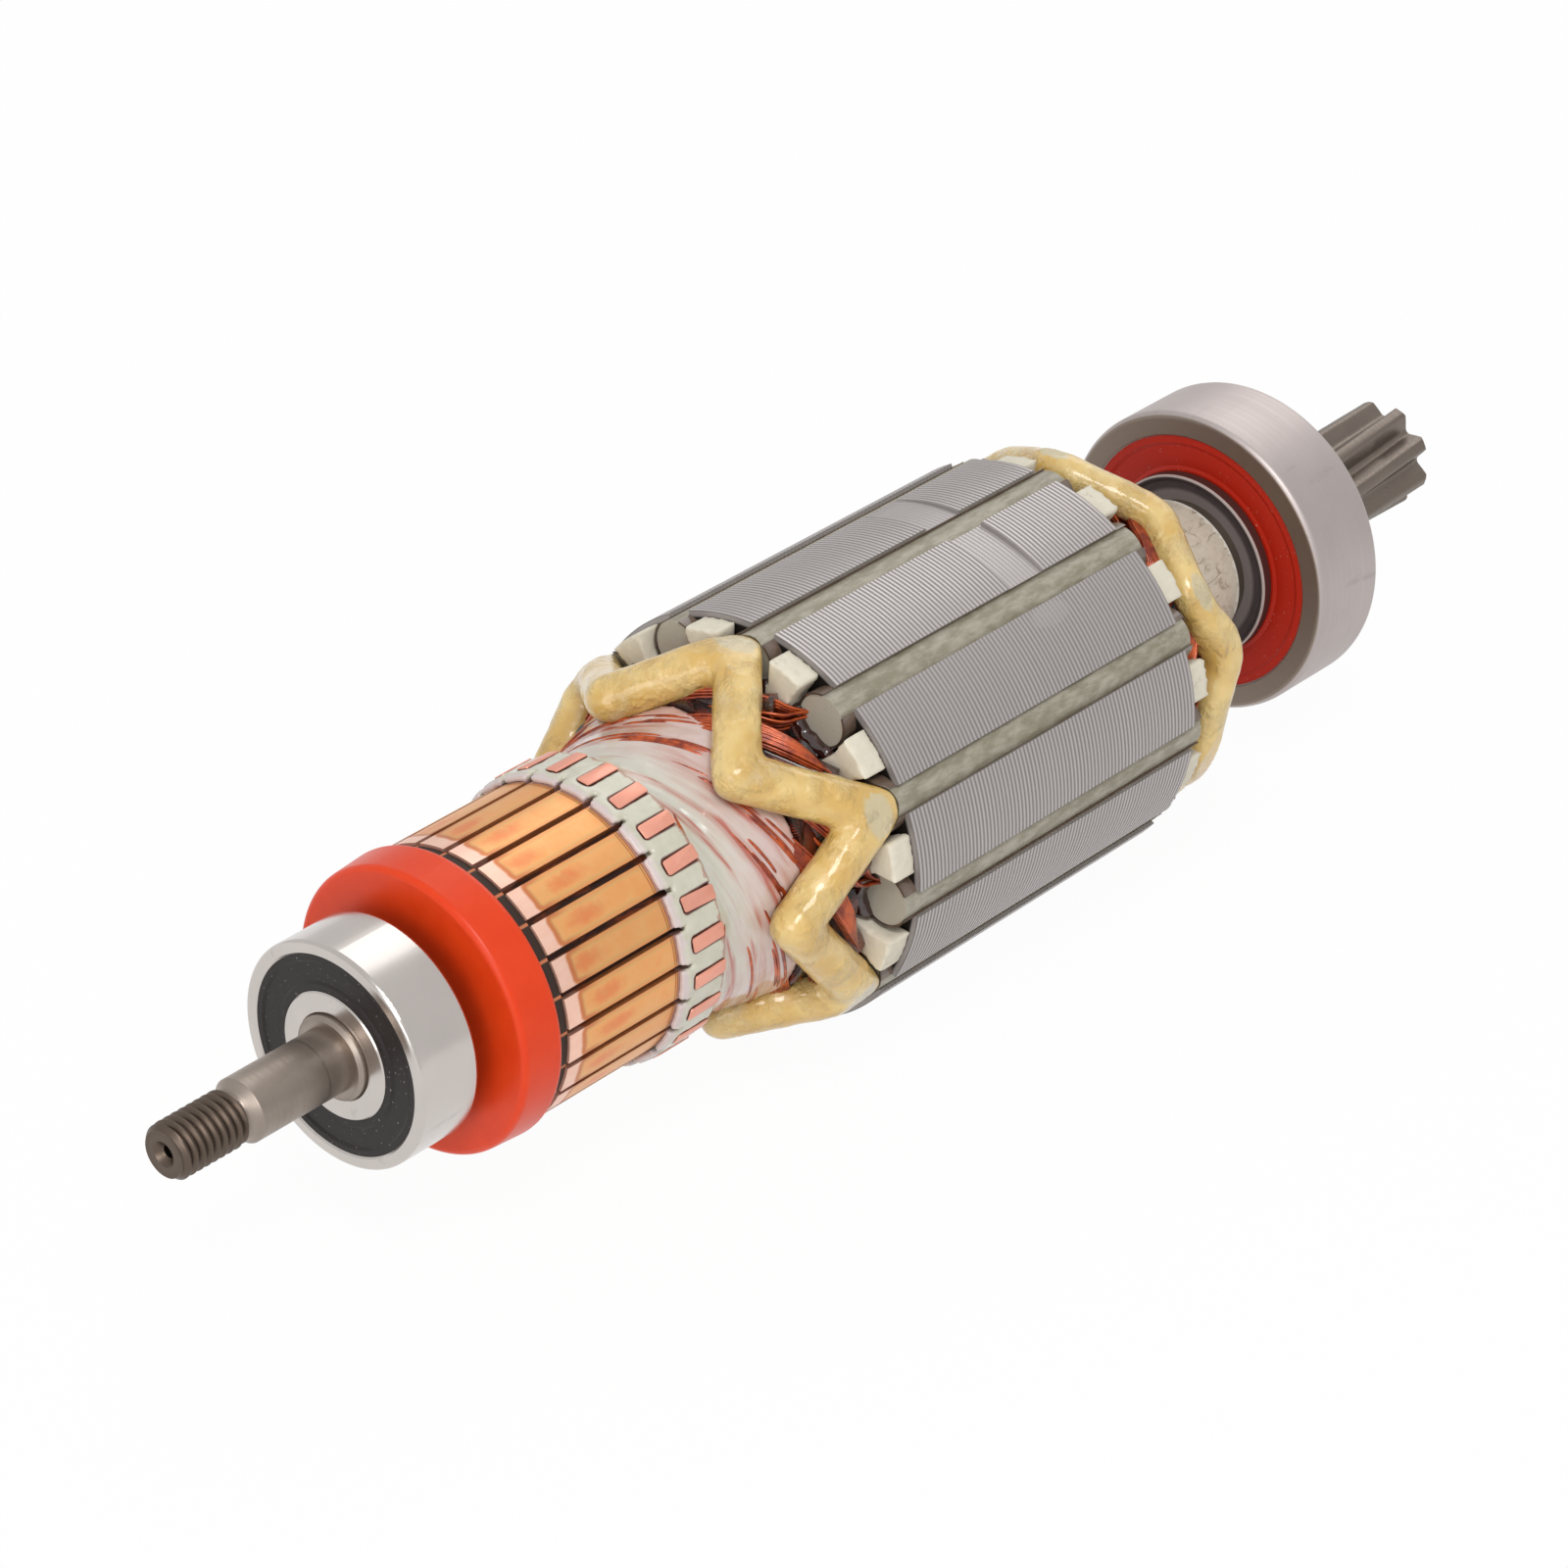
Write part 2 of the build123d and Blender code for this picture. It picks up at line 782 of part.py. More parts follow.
# Ring between the shaft's collar and the rear bearing
spacer_ring = revolved(
    [
        (spacer_front + spacer_dish, rear_bore / 2),
        (spacer_front + spacer_dish, spacer_radius - spacer_rim - spacer_dish),
        (spacer_front, spacer_radius - spacer_rim),
        (spacer_front, spacer_radius),
        (rear_bearing_face, spacer_radius),
        (rear_bearing_face, rear_bore / 2),
    ]
)
save(spacer_ring, "spacer_ring")
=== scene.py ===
import math

import bmesh
import bpy
from mathutils import Matrix, Vector, noise
from mathutils.bvhtree import BVHTree


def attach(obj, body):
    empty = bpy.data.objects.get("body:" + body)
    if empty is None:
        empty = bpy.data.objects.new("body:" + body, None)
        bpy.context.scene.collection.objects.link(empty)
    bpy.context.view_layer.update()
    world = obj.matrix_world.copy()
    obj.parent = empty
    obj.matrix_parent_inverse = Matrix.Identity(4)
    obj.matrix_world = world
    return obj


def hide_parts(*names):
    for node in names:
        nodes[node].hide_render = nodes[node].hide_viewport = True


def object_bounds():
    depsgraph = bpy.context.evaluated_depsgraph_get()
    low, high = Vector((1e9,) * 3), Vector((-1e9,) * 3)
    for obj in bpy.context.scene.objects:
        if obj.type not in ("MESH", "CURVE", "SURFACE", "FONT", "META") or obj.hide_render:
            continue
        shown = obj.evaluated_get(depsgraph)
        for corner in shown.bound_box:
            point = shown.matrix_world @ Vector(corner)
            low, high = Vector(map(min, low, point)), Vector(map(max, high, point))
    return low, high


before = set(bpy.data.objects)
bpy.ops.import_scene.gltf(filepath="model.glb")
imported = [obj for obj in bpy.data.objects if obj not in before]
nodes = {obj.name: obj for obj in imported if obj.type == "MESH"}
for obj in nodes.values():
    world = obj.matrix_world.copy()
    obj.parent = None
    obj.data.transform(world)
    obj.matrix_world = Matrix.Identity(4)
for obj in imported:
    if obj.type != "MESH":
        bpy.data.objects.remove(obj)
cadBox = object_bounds()
scene = bpy.context.scene
mm = 0.001

# the shaft runs along X with its threaded end at low X, and the core's middle is at 0
# angles round the shaft are counted from straight up towards the near side


def rgb(red, green, blue):  # a colour picked on screen, made linear for the shader
    shares = (red / 255, green / 255, blue / 255)
    return (*[c / 12.92 if c <= 0.04045 else ((c + 0.055) / 1.055) ** 2.4 for c in shares], 1.0)


def toned(colour, share):  # the same colour darker or lighter
    return (*[min(1, c * share) for c in colour[:3]], 1.0)


def around(x, radius, angle):  # millimetres and degrees to a place in the scene
    return Vector((x, -radius * math.sin(math.radians(angle)), radius * math.cos(math.radians(angle)))) * mm


def awayOf(place):  # millimetres out from the shaft's axis
    return math.hypot(place.y, place.z) / mm


def polar(place):  # millimetres along the shaft and out from it, and degrees round it
    return place.x / mm, awayOf(place), math.degrees(math.atan2(-place.y, place.z))


def turnFrom(angle, middle):  # degrees from one angle to another, from -180 to 180
    return (angle - middle + 180) % 360 - 180


def drawIn(vert, share):  # scales a point's distance from the shaft's axis
    vert.co.y *= share
    vert.co.z *= share


# small helpers for the shader trees
def newFinish(name, depth=None, **values):  # depth is how much light goes in, and how far in metres
    finish = bpy.data.materials.new(name)
    finish.use_nodes = True
    tree = finish.node_tree
    shader = tree.nodes["Principled BSDF"]
    for socket, value in values.items():
        shader.inputs[socket.replace("_", " ")].default_value = value
    if depth:
        shader.inputs["Subsurface Weight"].default_value = depth[0]
        shader.inputs["Subsurface Radius"].default_value = depth[1]
    return finish, tree, shader


def addNode(tree, kind, settings=None, values=None, feeds=None):
    node = tree.nodes.new("ShaderNode" + kind)
    for key, value in (settings or {}).items():
        setattr(node, key, value)
    for key, value in (values or {}).items():
        node.inputs[key].default_value = value
    for key, socket in (feeds or {}).items():
        tree.links.new(socket, node.inputs[key])
    return node


def feed(tree, socket, value):  # a fixed value, or a link from another node's output
    if isinstance(value, (int, float, tuple)):
        socket.default_value = value
    else:
        tree.links.new(value, socket)


def doMath(tree, operation, first, second=None):
    node = addNode(tree, "Math", {"operation": operation})
    feed(tree, node.inputs[0], first)
    if second is not None:
        feed(tree, node.inputs[1], second)
    return node.outputs[0]


def times(tree, first, second):
    return doMath(tree, "MULTIPLY", first, second)


def plus(tree, first, second):
    return doMath(tree, "ADD", first, second)


def minus(tree, first, second):
    return doMath(tree, "SUBTRACT", first, second)


def without(tree, value):  # what is left up to 1
    return minus(tree, 1.0, value)


def unsigned(tree, value):
    return doMath(tree, "ABSOLUTE", value)


def blendColour(tree, factor, first, second, mode="MIX"):
    node = addNode(tree, "Mix", {"data_type": "RGBA", "blend_type": mode})
    for key, value in ((0, factor), (6, first), (7, second)):
        feed(tree, node.inputs[key], value)
    return node.outputs[2]


def layered(tree, colour, *layers):  # each layer is how much of it shows, and its colour
    for share, over in layers:
        colour = blendColour(tree, share, colour, over)
    return colour


def step(tree, value, low, high, start=0.0, end=1.0):  # a smooth change from start to end
    smooth = {"interpolation_type": "SMOOTHSTEP"}
    return addNode(tree, "MapRange", smooth, {1: low, 2: high, 3: start, 4: end}, {0: value}).outputs[0]


def band(tree, value, low, high, soft):  # 1 between low and high, fading over soft at both edges
    rise = step(tree, value, low - soft, low + soft)
    return times(tree, rise, step(tree, value, high - soft, high + soft, 1.0, 0.0))


def joined(tree, *parts):  # up to three numbers as one vector
    return addNode(tree, "CombineXYZ", feeds=dict(enumerate(parts))).outputs[0]


def lengthOf(tree, vector):
    return addNode(tree, "VectorMath", {"operation": "LENGTH"}, feeds={0: vector}).outputs["Value"]


def onShaft(tree):  # x, distance from the shaft's axis and angle round it, all in millimetres and radians
    where = addNode(tree, "TexCoord").outputs["Object"]
    place = addNode(tree, "VectorMath", {"operation": "SCALE"}, {"Scale": 1 / mm}, {0: where}).outputs[0]
    x, y, z = addNode(tree, "SeparateXYZ", feeds={0: place}).outputs
    radius = lengthOf(tree, addNode(tree, "CombineXYZ", feeds={1: y, 2: z}).outputs[0])
    angle = doMath(tree, "ARCTAN2", times(tree, y, -1.0), z)
    return {"place": place, "x": x, "radius": radius, "angle": angle}


def speckle(tree, vector, scale, detail=3.0, rough=0.5, distortion=0.0):
    settings = {"Scale": scale, "Detail": detail, "Roughness": rough, "Distortion": distortion}
    return addNode(tree, "TexNoise", values=settings, feeds={"Vector": vector}).outputs[0]


def wobble(tree, vector, amount, scale, detail=3.0, rough=0.5):  # the same pattern about 0
    return times(tree, minus(tree, speckle(tree, vector, scale, detail, rough), 0.5), amount)


def oval(tree, along, halfAlong, aside, halfAside):  # 0 in the middle of an oval, 1 on its border
    shares = [doMath(tree, "DIVIDE", *pair) for pair in ((along, halfAlong), (aside, halfAside))]
    return lengthOf(tree, joined(tree, *shares))


def stretched(tree, vector, along, across):  # a pattern's place, drawn out along the shaft or across it
    scale = {1: (along, across, across)}
    return addNode(tree, "VectorMath", {"operation": "MULTIPLY"}, scale, {0: vector}).outputs[0]


def paint(tree, shader, colour, socket="Base Color"):
    tree.links.new(colour, shader.inputs[socket])


def relief(tree, shader, height, strength, distance):
    settings = {"Strength": strength, "Distance": distance}
    paint(tree, shader, addNode(tree, "Bump", values=settings, feeds={"Height": height}).outputs[0], "Normal")


# camera, as the photo was taken
cameraView = {
    "place": (-507.85, -394.86, 405.43),
    "forward": (0.65140, 0.53092, -0.54204),
    "up": (0.37731, 0.39317, 0.83849),
    "lens": 124.91,
}
cameraData = bpy.data.cameras.new("armatureCamera")
cameraData.lens = cameraView["lens"]
cameraData.sensor_width = 36
cameraData.clip_start = 0.01
camera = bpy.data.objects.new("armatureCamera", cameraData)
scene.collection.objects.link(camera)
ahead = Vector(cameraView["forward"]).normalized()
upward = Vector(cameraView["up"]).normalized()
sideways = ahead.cross(upward).normalized()
turn = Matrix((sideways, upward, -ahead)).transposed().to_4x4()
camera.matrix_world = Matrix.Translation(Vector(cameraView["place"]) * mm) @ turn
scene.camera = camera

# light: a pale surround, a large soft lamp above the near side, one beside the camera and a weak one behind
lighting = {
    "surround": 0.56,
    "mirrored": 0.80,
    "keyPlace": (-0.45, -0.42, 0.90),
    "key": 4.8,
    "keySize": 0.42,
    "frontPlace": (-1.00, -0.35, 0.35),
    "front": 2.6,
    "frontSize": 0.60,
    "fillPlace": (0.75, 0.35, 0.70),
    "fill": 2.0,
    "fillSize": 0.80,
    "floorGlow": 0.96,
}
scene.view_settings.view_transform = "Standard"
surround = bpy.data.worlds.new("studio")
scene.world = surround
surround.use_nodes = True
skyTree = surround.node_tree
skyTree.nodes.clear()
skyPath = addNode(skyTree, "LightPath").outputs
skyNow = None
for ray, strength in (
    (None, lighting["surround"]),
    ("Is Glossy Ray", lighting["mirrored"]),
    ("Is Transmission Ray", 1.0),
    ("Is Camera Ray", 1.0),
):
    sky = addNode(skyTree, "Background", values={"Color": (1, 1, 1, 1), "Strength": strength}).outputs[0]
    if ray is None:
        skyNow = sky
    else:
        skyNow = addNode(skyTree, "MixShader", feeds={0: skyPath[ray], 1: skyNow, 2: sky}).outputs[0]
addNode(skyTree, "OutputWorld", feeds={"Surface": skyNow})


def softLamp(name):
    lampData = bpy.data.lights.new(name + "Lamp", "AREA")
    lampData.shape = "DISK"
    lampData.energy = lighting[name]
    lampData.size = lighting[name + "Size"]
    lamp = bpy.data.objects.new(name + "Lamp", lampData)
    scene.collection.objects.link(lamp)
    lamp.location = lighting[name + "Place"]
    lamp.rotation_euler = (-Vector(lamp.location)).to_track_quat("-Z", "Y").to_euler()


for name in ("key", "front", "fill"):
    softLamp(name)

# floor: pale, lit by itself where the camera sees it, so it meets the surround without an edge
floorLook = {"half": 4.0, "below": 0.0002, "colour": (0.86, 0.86, 0.86, 1)}
floorMesh = bpy.data.meshes.new("floor")
floorForm = bmesh.new()
bmesh.ops.create_grid(floorForm, x_segments=1, y_segments=1, size=floorLook["half"])
bmesh.ops.translate(floorForm, verts=floorForm.verts, vec=(0, 0, cadBox[0][2] - floorLook["below"]))
floorForm.to_mesh(floorMesh)
floorForm.free()
floor = bpy.data.objects.new("floor", floorMesh)
scene.collection.objects.link(floor)
floorPaint = bpy.data.materials.new("paleFloor")
floorPaint.use_nodes = True
floorTree = floorPaint.node_tree
floorTree.nodes.clear()
floorPath = addNode(floorTree, "LightPath").outputs
floorSeen = doMath(floorTree, "MAXIMUM", floorPath["Is Camera Ray"], floorPath["Is Glossy Ray"])
floorSeen = doMath(floorTree, "MAXIMUM", floorSeen, floorPath["Is Transmission Ray"])
floorMatt = addNode(floorTree, "BsdfDiffuse", values={"Color": floorLook["colour"]}).outputs[0]
floorLit = addNode(floorTree, "Emission", values={"Strength": 1.0}).outputs[0]
floorShare = times(floorTree, floorSeen, lighting["floorGlow"])
floorMix = addNode(floorTree, "MixShader", feeds={0: floorShare, 1: floorMatt, 2: floorLit})
addNode(floorTree, "OutputMaterial", feeds={"Surface": floorMix.outputs[0]})
floorMesh.materials.append(floorPaint)
print("camera, light and floor are set")


# turned or ground steel, whose lines run round the shaft; face is a duller end face up to a place along it
def ground(name, colour, rough, lines, tint=0.06, depth=0.12, face=None):
    finish, tree, shader = newFinish(name, Metallic=1.0)
    at = onShaft(tree)
    fine = speckle(tree, joined(tree, at["x"], at["radius"]), lines, 2.0, 0.6)
    cloud = speckle(tree, at["place"], 0.12, 4.0, 0.55)
    # soft darker streaks along the shaft: scuffs, and a painted reflection of dark streaks
    scuffsAndReflections = speckle(tree, stretched(tree, at["place"], 0.22, 1.0), 0.42, 5.0, 0.6, 0.3)
    steel = blendColour(tree, cloud, toned(colour, 1 - 2 * tint), toned(colour, 1 + tint))
    steel = blendColour(tree, step(tree, scuffsAndReflections, 0.62, 0.72, 0.0, 0.2), steel, toned(colour, 0.45))
    if face:
        steel = layered(tree, steel, (step(tree, at["x"], face[0], face[0] + 0.15, 0.85, 0.0), face[1]))
    paint(tree, shader, steel)
    paint(tree, shader, step(tree, fine, 0.3, 0.7, rough * 0.94, rough * 1.08), "Roughness")
    relief(tree, shader, fine, depth, 0.00001)
    return finish


def dress(nodeName, finish):
    piece = nodes[nodeName]
    if not piece.data.materials:
        piece.data.materials.append(finish)
    for slotIndex in range(len(piece.material_slots)):
        piece.material_slots[slotIndex].link = "OBJECT"
        piece.material_slots[slotIndex].material = finish


def addPiece(name, mesh, finish):
    piece = bpy.data.objects.new(name, mesh)
    scene.collection.objects.link(piece)
    mesh.materials.clear()
    mesh.materials.append(finish)
    for face in mesh.polygons:
        face.use_smooth = True
    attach(piece, "rotor")
    return piece


def swap(name, mesh, finish, nodeName):
    piece = addPiece(name, mesh, finish)
    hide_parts(nodeName)
    return piece


def formOf(mesh):
    form = bmesh.new()
    form.from_mesh(mesh)
    return form


def finishForm(name, form):
    mesh = bpy.data.meshes.new(name)
    form.to_mesh(mesh)
    form.free()
    return mesh


def copyOfNode(nodeName):  # the node's own mesh with its loose triangles joined up
    form = formOf(nodes[nodeName].data)
    bmesh.ops.remove_doubles(form, verts=form.verts, dist=0.000002)
    return form


def flattened(nodeName):  # such a copy with one face for each flat side
    form = copyOfNode(nodeName)
    bmesh.ops.dissolve_limit(form, angle_limit=math.radians(0.5), verts=form.verts, edges=form.edges)
    return form


def resultOf(holder, name):  # the mesh that an object comes out as, without the object
    scene.collection.objects.link(holder)
    bpy.context.view_layer.update()
    mesh = bpy.data.meshes.new_from_object(holder.evaluated_get(bpy.context.evaluated_depsgraph_get()))
    mesh.name = name
    bpy.data.objects.remove(holder)
    return mesh


def softened(name, mesh, voxel, rounds):  # the mesh as one soft skin
    holder = bpy.data.objects.new(name + "Work", mesh)
    skin = holder.modifiers.new("skin", "REMESH")
    skin.mode = "VOXEL"
    skin.voxel_size = voxel * mm
    skin.use_smooth_shade = True
    calm = holder.modifiers.new("calm", "SMOOTH")
    calm.factor = 0.6
    calm.iterations = rounds
    return resultOf(holder, name)


def melted(nodeName, voxel, rounds):
    return softened(nodeName + "Skin", finishForm(nodeName + "Copy", copyOfNode(nodeName)), voxel, rounds)


def reshaped(mesh, push):  # moves each point outwards by what push() gives in millimetres
    form = formOf(mesh)
    form.normal_update()
    for vert in form.verts:
        vert.co += vert.normal * push(vert.co) * mm
    form.to_mesh(mesh)
    form.free()
    return mesh


def sharpen(mesh, degrees):  # smooth faces with crisp edges where they turn more than this
    form = formOf(mesh)
    for edge in form.edges:
        edge.smooth = len(edge.link_faces) == 2 and edge.calc_face_angle(0) < math.radians(degrees)
    form.to_mesh(mesh)
    form.free()


# finishes for steel
bearingSteel = ground("bearingSteel", rgb(204, 197, 192), 0.2, 3.0, 0.05, 0.04)
ballSteel = ground("ballSteel", rgb(225, 225, 225), 0.08, 0.5, 0.02)
cageSteel = ground("cageSteel", rgb(170, 165, 158), 0.3, 1.0, 0.05)
rearSteel = ground("rearSteel", rgb(188, 178, 175), 0.5, 3.0, 0.05, 0.03, (68.85, rgb(132, 118, 104)))
for bearing, steel in (("front_bearing", bearingSteel), ("rear_bearing", rearSteel)):
    dress(bearing + "_inner_ring", steel)
    dress(bearing + "_outer_ring", steel)
    dress(bearing + "_balls", ballSteel)
    dress(bearing + "_cage", cageSteel)

# the rear inner ring's face lies deep between spacer and seal: painted shade makes it dark red brown, with a
# painted highlight along one edge
faceShadedSteel, tree, shader = newFinish("faceShadedSteel", Metallic=0.6, Roughness=0.35)
at = onShaft(tree)
film = speckle(tree, at["place"], 0.4, 4.0)
bare = blendColour(tree, film, rgb(160, 150, 146), rgb(184, 174, 170))
# painted shade on the face, then a painted highlight on its edge
shadeWithHighlight = blendColour(tree, film, rgb(64, 28, 24), rgb(88, 42, 36))
shadeWithHighlight = blendColour(tree, band(tree, at["radius"], 14.2, 14.6, 0.1), shadeWithHighlight, rgb(196, 184, 178))
paint(tree, shader, blendColour(tree, step(tree, at["x"], 69.0, 69.6, 1.0, 0.0), bare, shadeWithHighlight))
relief(tree, shader, film, 0.1, 0.0001)
dress("rear_bearing_inner_ring", faceShadedSteel)

# spacer: blackened steel, grey by the sleeve, with a painted highlight along its front edge, and painted
# shade and a painted reflection of the red seal, red brown, round its side
darkSteel, tree, shader = newFinish("darkSteel", Roughness=0.6, Specular_IOR_Level=0.25)
at = onShaft(tree)
grime = speckle(tree, at["place"], 0.5, 4.0)
# painted highlight along the spacer's front edge
edgeHighlight = times(tree, step(tree, at["radius"], 13.95, 14.1), step(tree, at["x"], 67.25, 67.4, 1.0, 0.0))
spacerColour = layered(
    tree,
    blendColour(tree, grime, rgb(62, 54, 56), rgb(78, 70, 71)),
    (step(tree, at["radius"], 11.6, 12.4, 0.75, 0.0), rgb(140, 132, 130)),
    # painted shade and a painted reflection of the red seal round the spacer's side
    (step(tree, at["radius"], 14.0, 14.2), rgb(74, 40, 36)),
    (edgeHighlight, rgb(196, 186, 182)),
)
paint(tree, shader, spacerColour)
relief(tree, shader, grime, 0.15, 0.0002)
dress("spacer_ring", darkSteel)
print("bearings are finished")


# rubber seals, satin with fine rings and a little dust
def sealRubber(name, colour, dust, ringDepth):
    finish, tree, shader = newFinish(name, Roughness=0.45, Specular_IOR_Level=0.3)
    at = onShaft(tree)
    rings = speckle(tree, joined(tree, at["radius"]), 1.6, 2.0)
    grime = speckle(tree, at["place"], 0.9, 6.0, 0.65)
    motes = speckle(tree, at["place"], 3.2, 1.0, 0.4)
    rubber = layered(
        tree,
        blendColour(tree, rings, toned(colour, 0.82), colour),
        (step(tree, grime, 0.66, 0.72, 0.0, 0.6), dust),
        (step(tree, motes, 0.74, 0.78, 0.0, 0.8), rgb(176, 168, 162)),
    )
    paint(tree, shader, rubber)
    relief(tree, shader, plus(tree, rings, times(tree, grime, 0.4)), ringDepth, 0.0001)
    return finish


blackSeal = sealRubber("blackSeal", rgb(36, 30, 29), rgb(96, 90, 86), 0.25)
redSeal = sealRubber("redSeal", rgb(190, 36, 12), rgb(150, 30, 14), 0.08)
for end in ("front", "rear"):
    dress(f"front_bearing_{end}_seal", blackSeal)
    dress(f"rear_bearing_{end}_seal", redSeal)

# orange insulating disc, a glossy moulding with a faint skin
orangePlastic, tree, shader = newFinish(
    "orangePlastic", (0.25, (0.0015, 0.0004, 0.0002)), Roughness=0.34, Specular_IOR_Level=0.3
)
shader.inputs["Subsurface Scale"].default_value = 1.0
at = onShaft(tree)
skin = speckle(tree, at["place"], 0.35)
paint(tree, shader, blendColour(tree, skin, rgb(214, 56, 12), rgb(224, 68, 22)))
relief(tree, shader, speckle(tree, at["place"], 1.2), 0.05, 0.0002)
dress("insulating_disc", orangePlastic)

# commutator: on each bar a heat tinted brush track with round corners, between a pale band and two fine lines
commutatorLook = {
    "bars": 24,
    "radius": 20.0,
    "track": {"middle": -75.2, "half": 9.9, "halfWidth": 2.5, "corner": 1.3},
    "blotch": {"middle": -82.0, "stray": 4.0, "half": 3.2, "halfWidth": 1.15},
    "lines": (-67.35, -66.95),
    "tangs": (-65.2, -64.8),
    "tang": {"middle": -61.85, "half": 2.95, "halfWidth": 1.05, "corner": 0.55},
    "tangTop": 21.3,
    "tangRim": 0.12,
    "tangSkew": 0.3,
}
barPitch = 2 * math.pi * commutatorLook["radius"] / commutatorLook["bars"]


def acrossBar(tree, at):  # which bar, and millimetres from its middle line
    turned = times(tree, at["angle"], commutatorLook["bars"] / (2 * math.pi))
    number = doMath(tree, "ROUND", turned)
    return number, times(tree, minus(tree, turned, number), barPitch)


def outsideOf(tree, at, across, shape):  # millimetres outside a rectangle with round corners
    beside = joined(tree, unsigned(tree, minus(tree, at["x"], shape["middle"])), unsigned(tree, across))
    inner = {1: (shape["half"] - shape["corner"], shape["halfWidth"] - shape["corner"], 0)}
    past = addNode(tree, "VectorMath", {"operation": "SUBTRACT"}, inner, {0: beside}).outputs[0]
    kept = addNode(tree, "VectorMath", {"operation": "MAXIMUM"}, {1: (0, 0, 0)}, {0: past}).outputs[0]
    return minus(tree, lengthOf(tree, kept), shape["corner"])


commutatorCopper, tree, shader = newFinish("commutatorCopper", Metallic=0.55, Roughness=0.38)
at = onShaft(tree)
barNumber, across = acrossBar(tree, at)
perBar = addNode(tree, "TexWhiteNoise", {"noise_dimensions": "1D"}, feeds={"W": barNumber}).outputs[0]
smear = speckle(tree, stretched(tree, at["place"], 0.5, 1.5), 0.5, 5.0, 0.6)
cloud = speckle(tree, at["place"], 0.35, 4.0, 0.6, 0.4)
edge = outsideOf(tree, at, across, commutatorLook["track"])
edge = plus(tree, edge, times(tree, minus(tree, cloud, 0.5), 0.7))
pale = blendColour(tree, smear, rgb(238, 182, 156), rgb(250, 214, 196))
blotchLook = commutatorLook["blotch"]
blotchAlong = minus(tree, at["x"], times(tree, perBar, blotchLook["stray"]))
blotchAlong = minus(tree, blotchAlong, blotchLook["middle"])
blotchFrom = oval(tree, blotchAlong, blotchLook["half"], across, blotchLook["halfWidth"])
ragged = wobble(tree, at["place"], 1.3, 0.8, 4.0, 0.65)
blotch = step(tree, plus(tree, blotchFrom, ragged), 0.25, 1.45, 0.62, 0.0)
browned = times(tree, band(tree, edge, -0.85, -0.05, 0.32), step(tree, at["x"], -84.0, -80.5, 0.75, 0.22))
lines = commutatorLook["lines"]
marks = [times(tree, band(tree, at["x"], line - 0.07, line + 0.07, 0.06), 0.75) for line in lines]
burnt = plus(tree, unsigned(tree, across), times(tree, ragged, 0.08))
tangCopper = blendColour(tree, cloud, rgb(226, 148, 126), rgb(242, 174, 152))
# painted shade: the tangs' low sides are dark brown, like the groove round each tang
tangSideShade = step(tree, at["radius"], commutatorLook["tangTop"] - 0.22, commutatorLook["tangTop"] - 0.08)
golden = layered(
    tree,
    blendColour(tree, cloud, rgb(228, 152, 86), rgb(240, 180, 118)),
    (blotch, rgb(226, 118, 70)),
    (times(tree, band(tree, edge, -1.15, -0.75, 0.25), 0.45), rgb(204, 176, 112)),
)
surface = layered(
    tree,
    golden,
    (step(tree, edge, -0.25, 0.05), pale),
    (browned, rgb(190, 104, 66)),
    *[(mark, rgb(122, 62, 40)) for mark in marks],
    (step(tree, at["x"], lines[-1], lines[-1] + 0.2), rgb(214, 178, 168)),
    (step(tree, burnt, 2.06, 2.2, 0.0, 0.6), rgb(140, 72, 44)),
    (step(tree, at["x"], *commutatorLook["tangs"]), blendColour(tree, tangSideShade, rgb(84, 44, 36), tangCopper)),
)
shade = plus(tree, times(tree, perBar, 0.08), 0.94)
shade = addNode(tree, "CombineColor", feeds={0: shade, 1: shade, 2: shade}).outputs[0]
surface = blendColour(tree, 1.0, surface, shade, "MULTIPLY")
paint(tree, shader, surface)
wiped = speckle(tree, joined(tree, at["x"]), 3.5, 3.0, 0.6)
paint(tree, shader, step(tree, wiped, 0.3, 0.7, 0.32, 0.44), "Roughness")
relief(tree, shader, wiped, 0.1, 0.00004)

# the bars' copy has eased edges, and tangs with round corners that sit a little askew
barsForm = flattened("commutator_bars")
tangFoot = commutatorLook["tangTop"] - 0.2
barTurn = 360 / commutatorLook["bars"]


def isTangCorner(edge):
    (x1, r1, a1), (x2, r2, a2) = (polar(vert.co) for vert in edge.verts)
    return abs(x1 - x2) < 0.01 and max(r1, r2) > tangFoot and abs(r1 - r2) > 0.3 and abs(a1 - a2) < 1.0


def isTangRim(edge):
    isHigh = all(awayOf(vert.co) > tangFoot for vert in edge.verts)
    return isHigh and len(edge.link_faces) == 2 and edge.calc_face_angle(0) > 0.6


for chosen, offset, rounds in (
    (isTangCorner, commutatorLook["tang"]["corner"], 4),
    (isTangRim, commutatorLook["tangRim"], 2),
):
    bmesh.ops.bevel(
        barsForm,
        geom=[edge for edge in barsForm.edges if chosen(edge)],
        offset=offset * mm,
        offset_type="OFFSET",
        affect="EDGES",
        segments=rounds,
        profile=0.5,
        material=-1,
        clamp_overlap=True,
    )
for vert in barsForm.verts:
    x, away, angle = polar(vert.co)
    if away > commutatorLook["radius"] + 0.1 and x > commutatorLook["tangs"][0]:
        askew = commutatorLook["tangSkew"] * noise.noise(Vector((round(angle / barTurn) * 1.37, 0.5, 0.5)))
        vert.co = around(x, away, angle + askew * (x - commutatorLook["tang"]["middle"]))
barsMesh = finishForm("barsWithTangs", barsForm)
sharpen(barsMesh, 35)
swap("barsWithTangs", barsMesh, commutatorCopper, "commutator_bars")

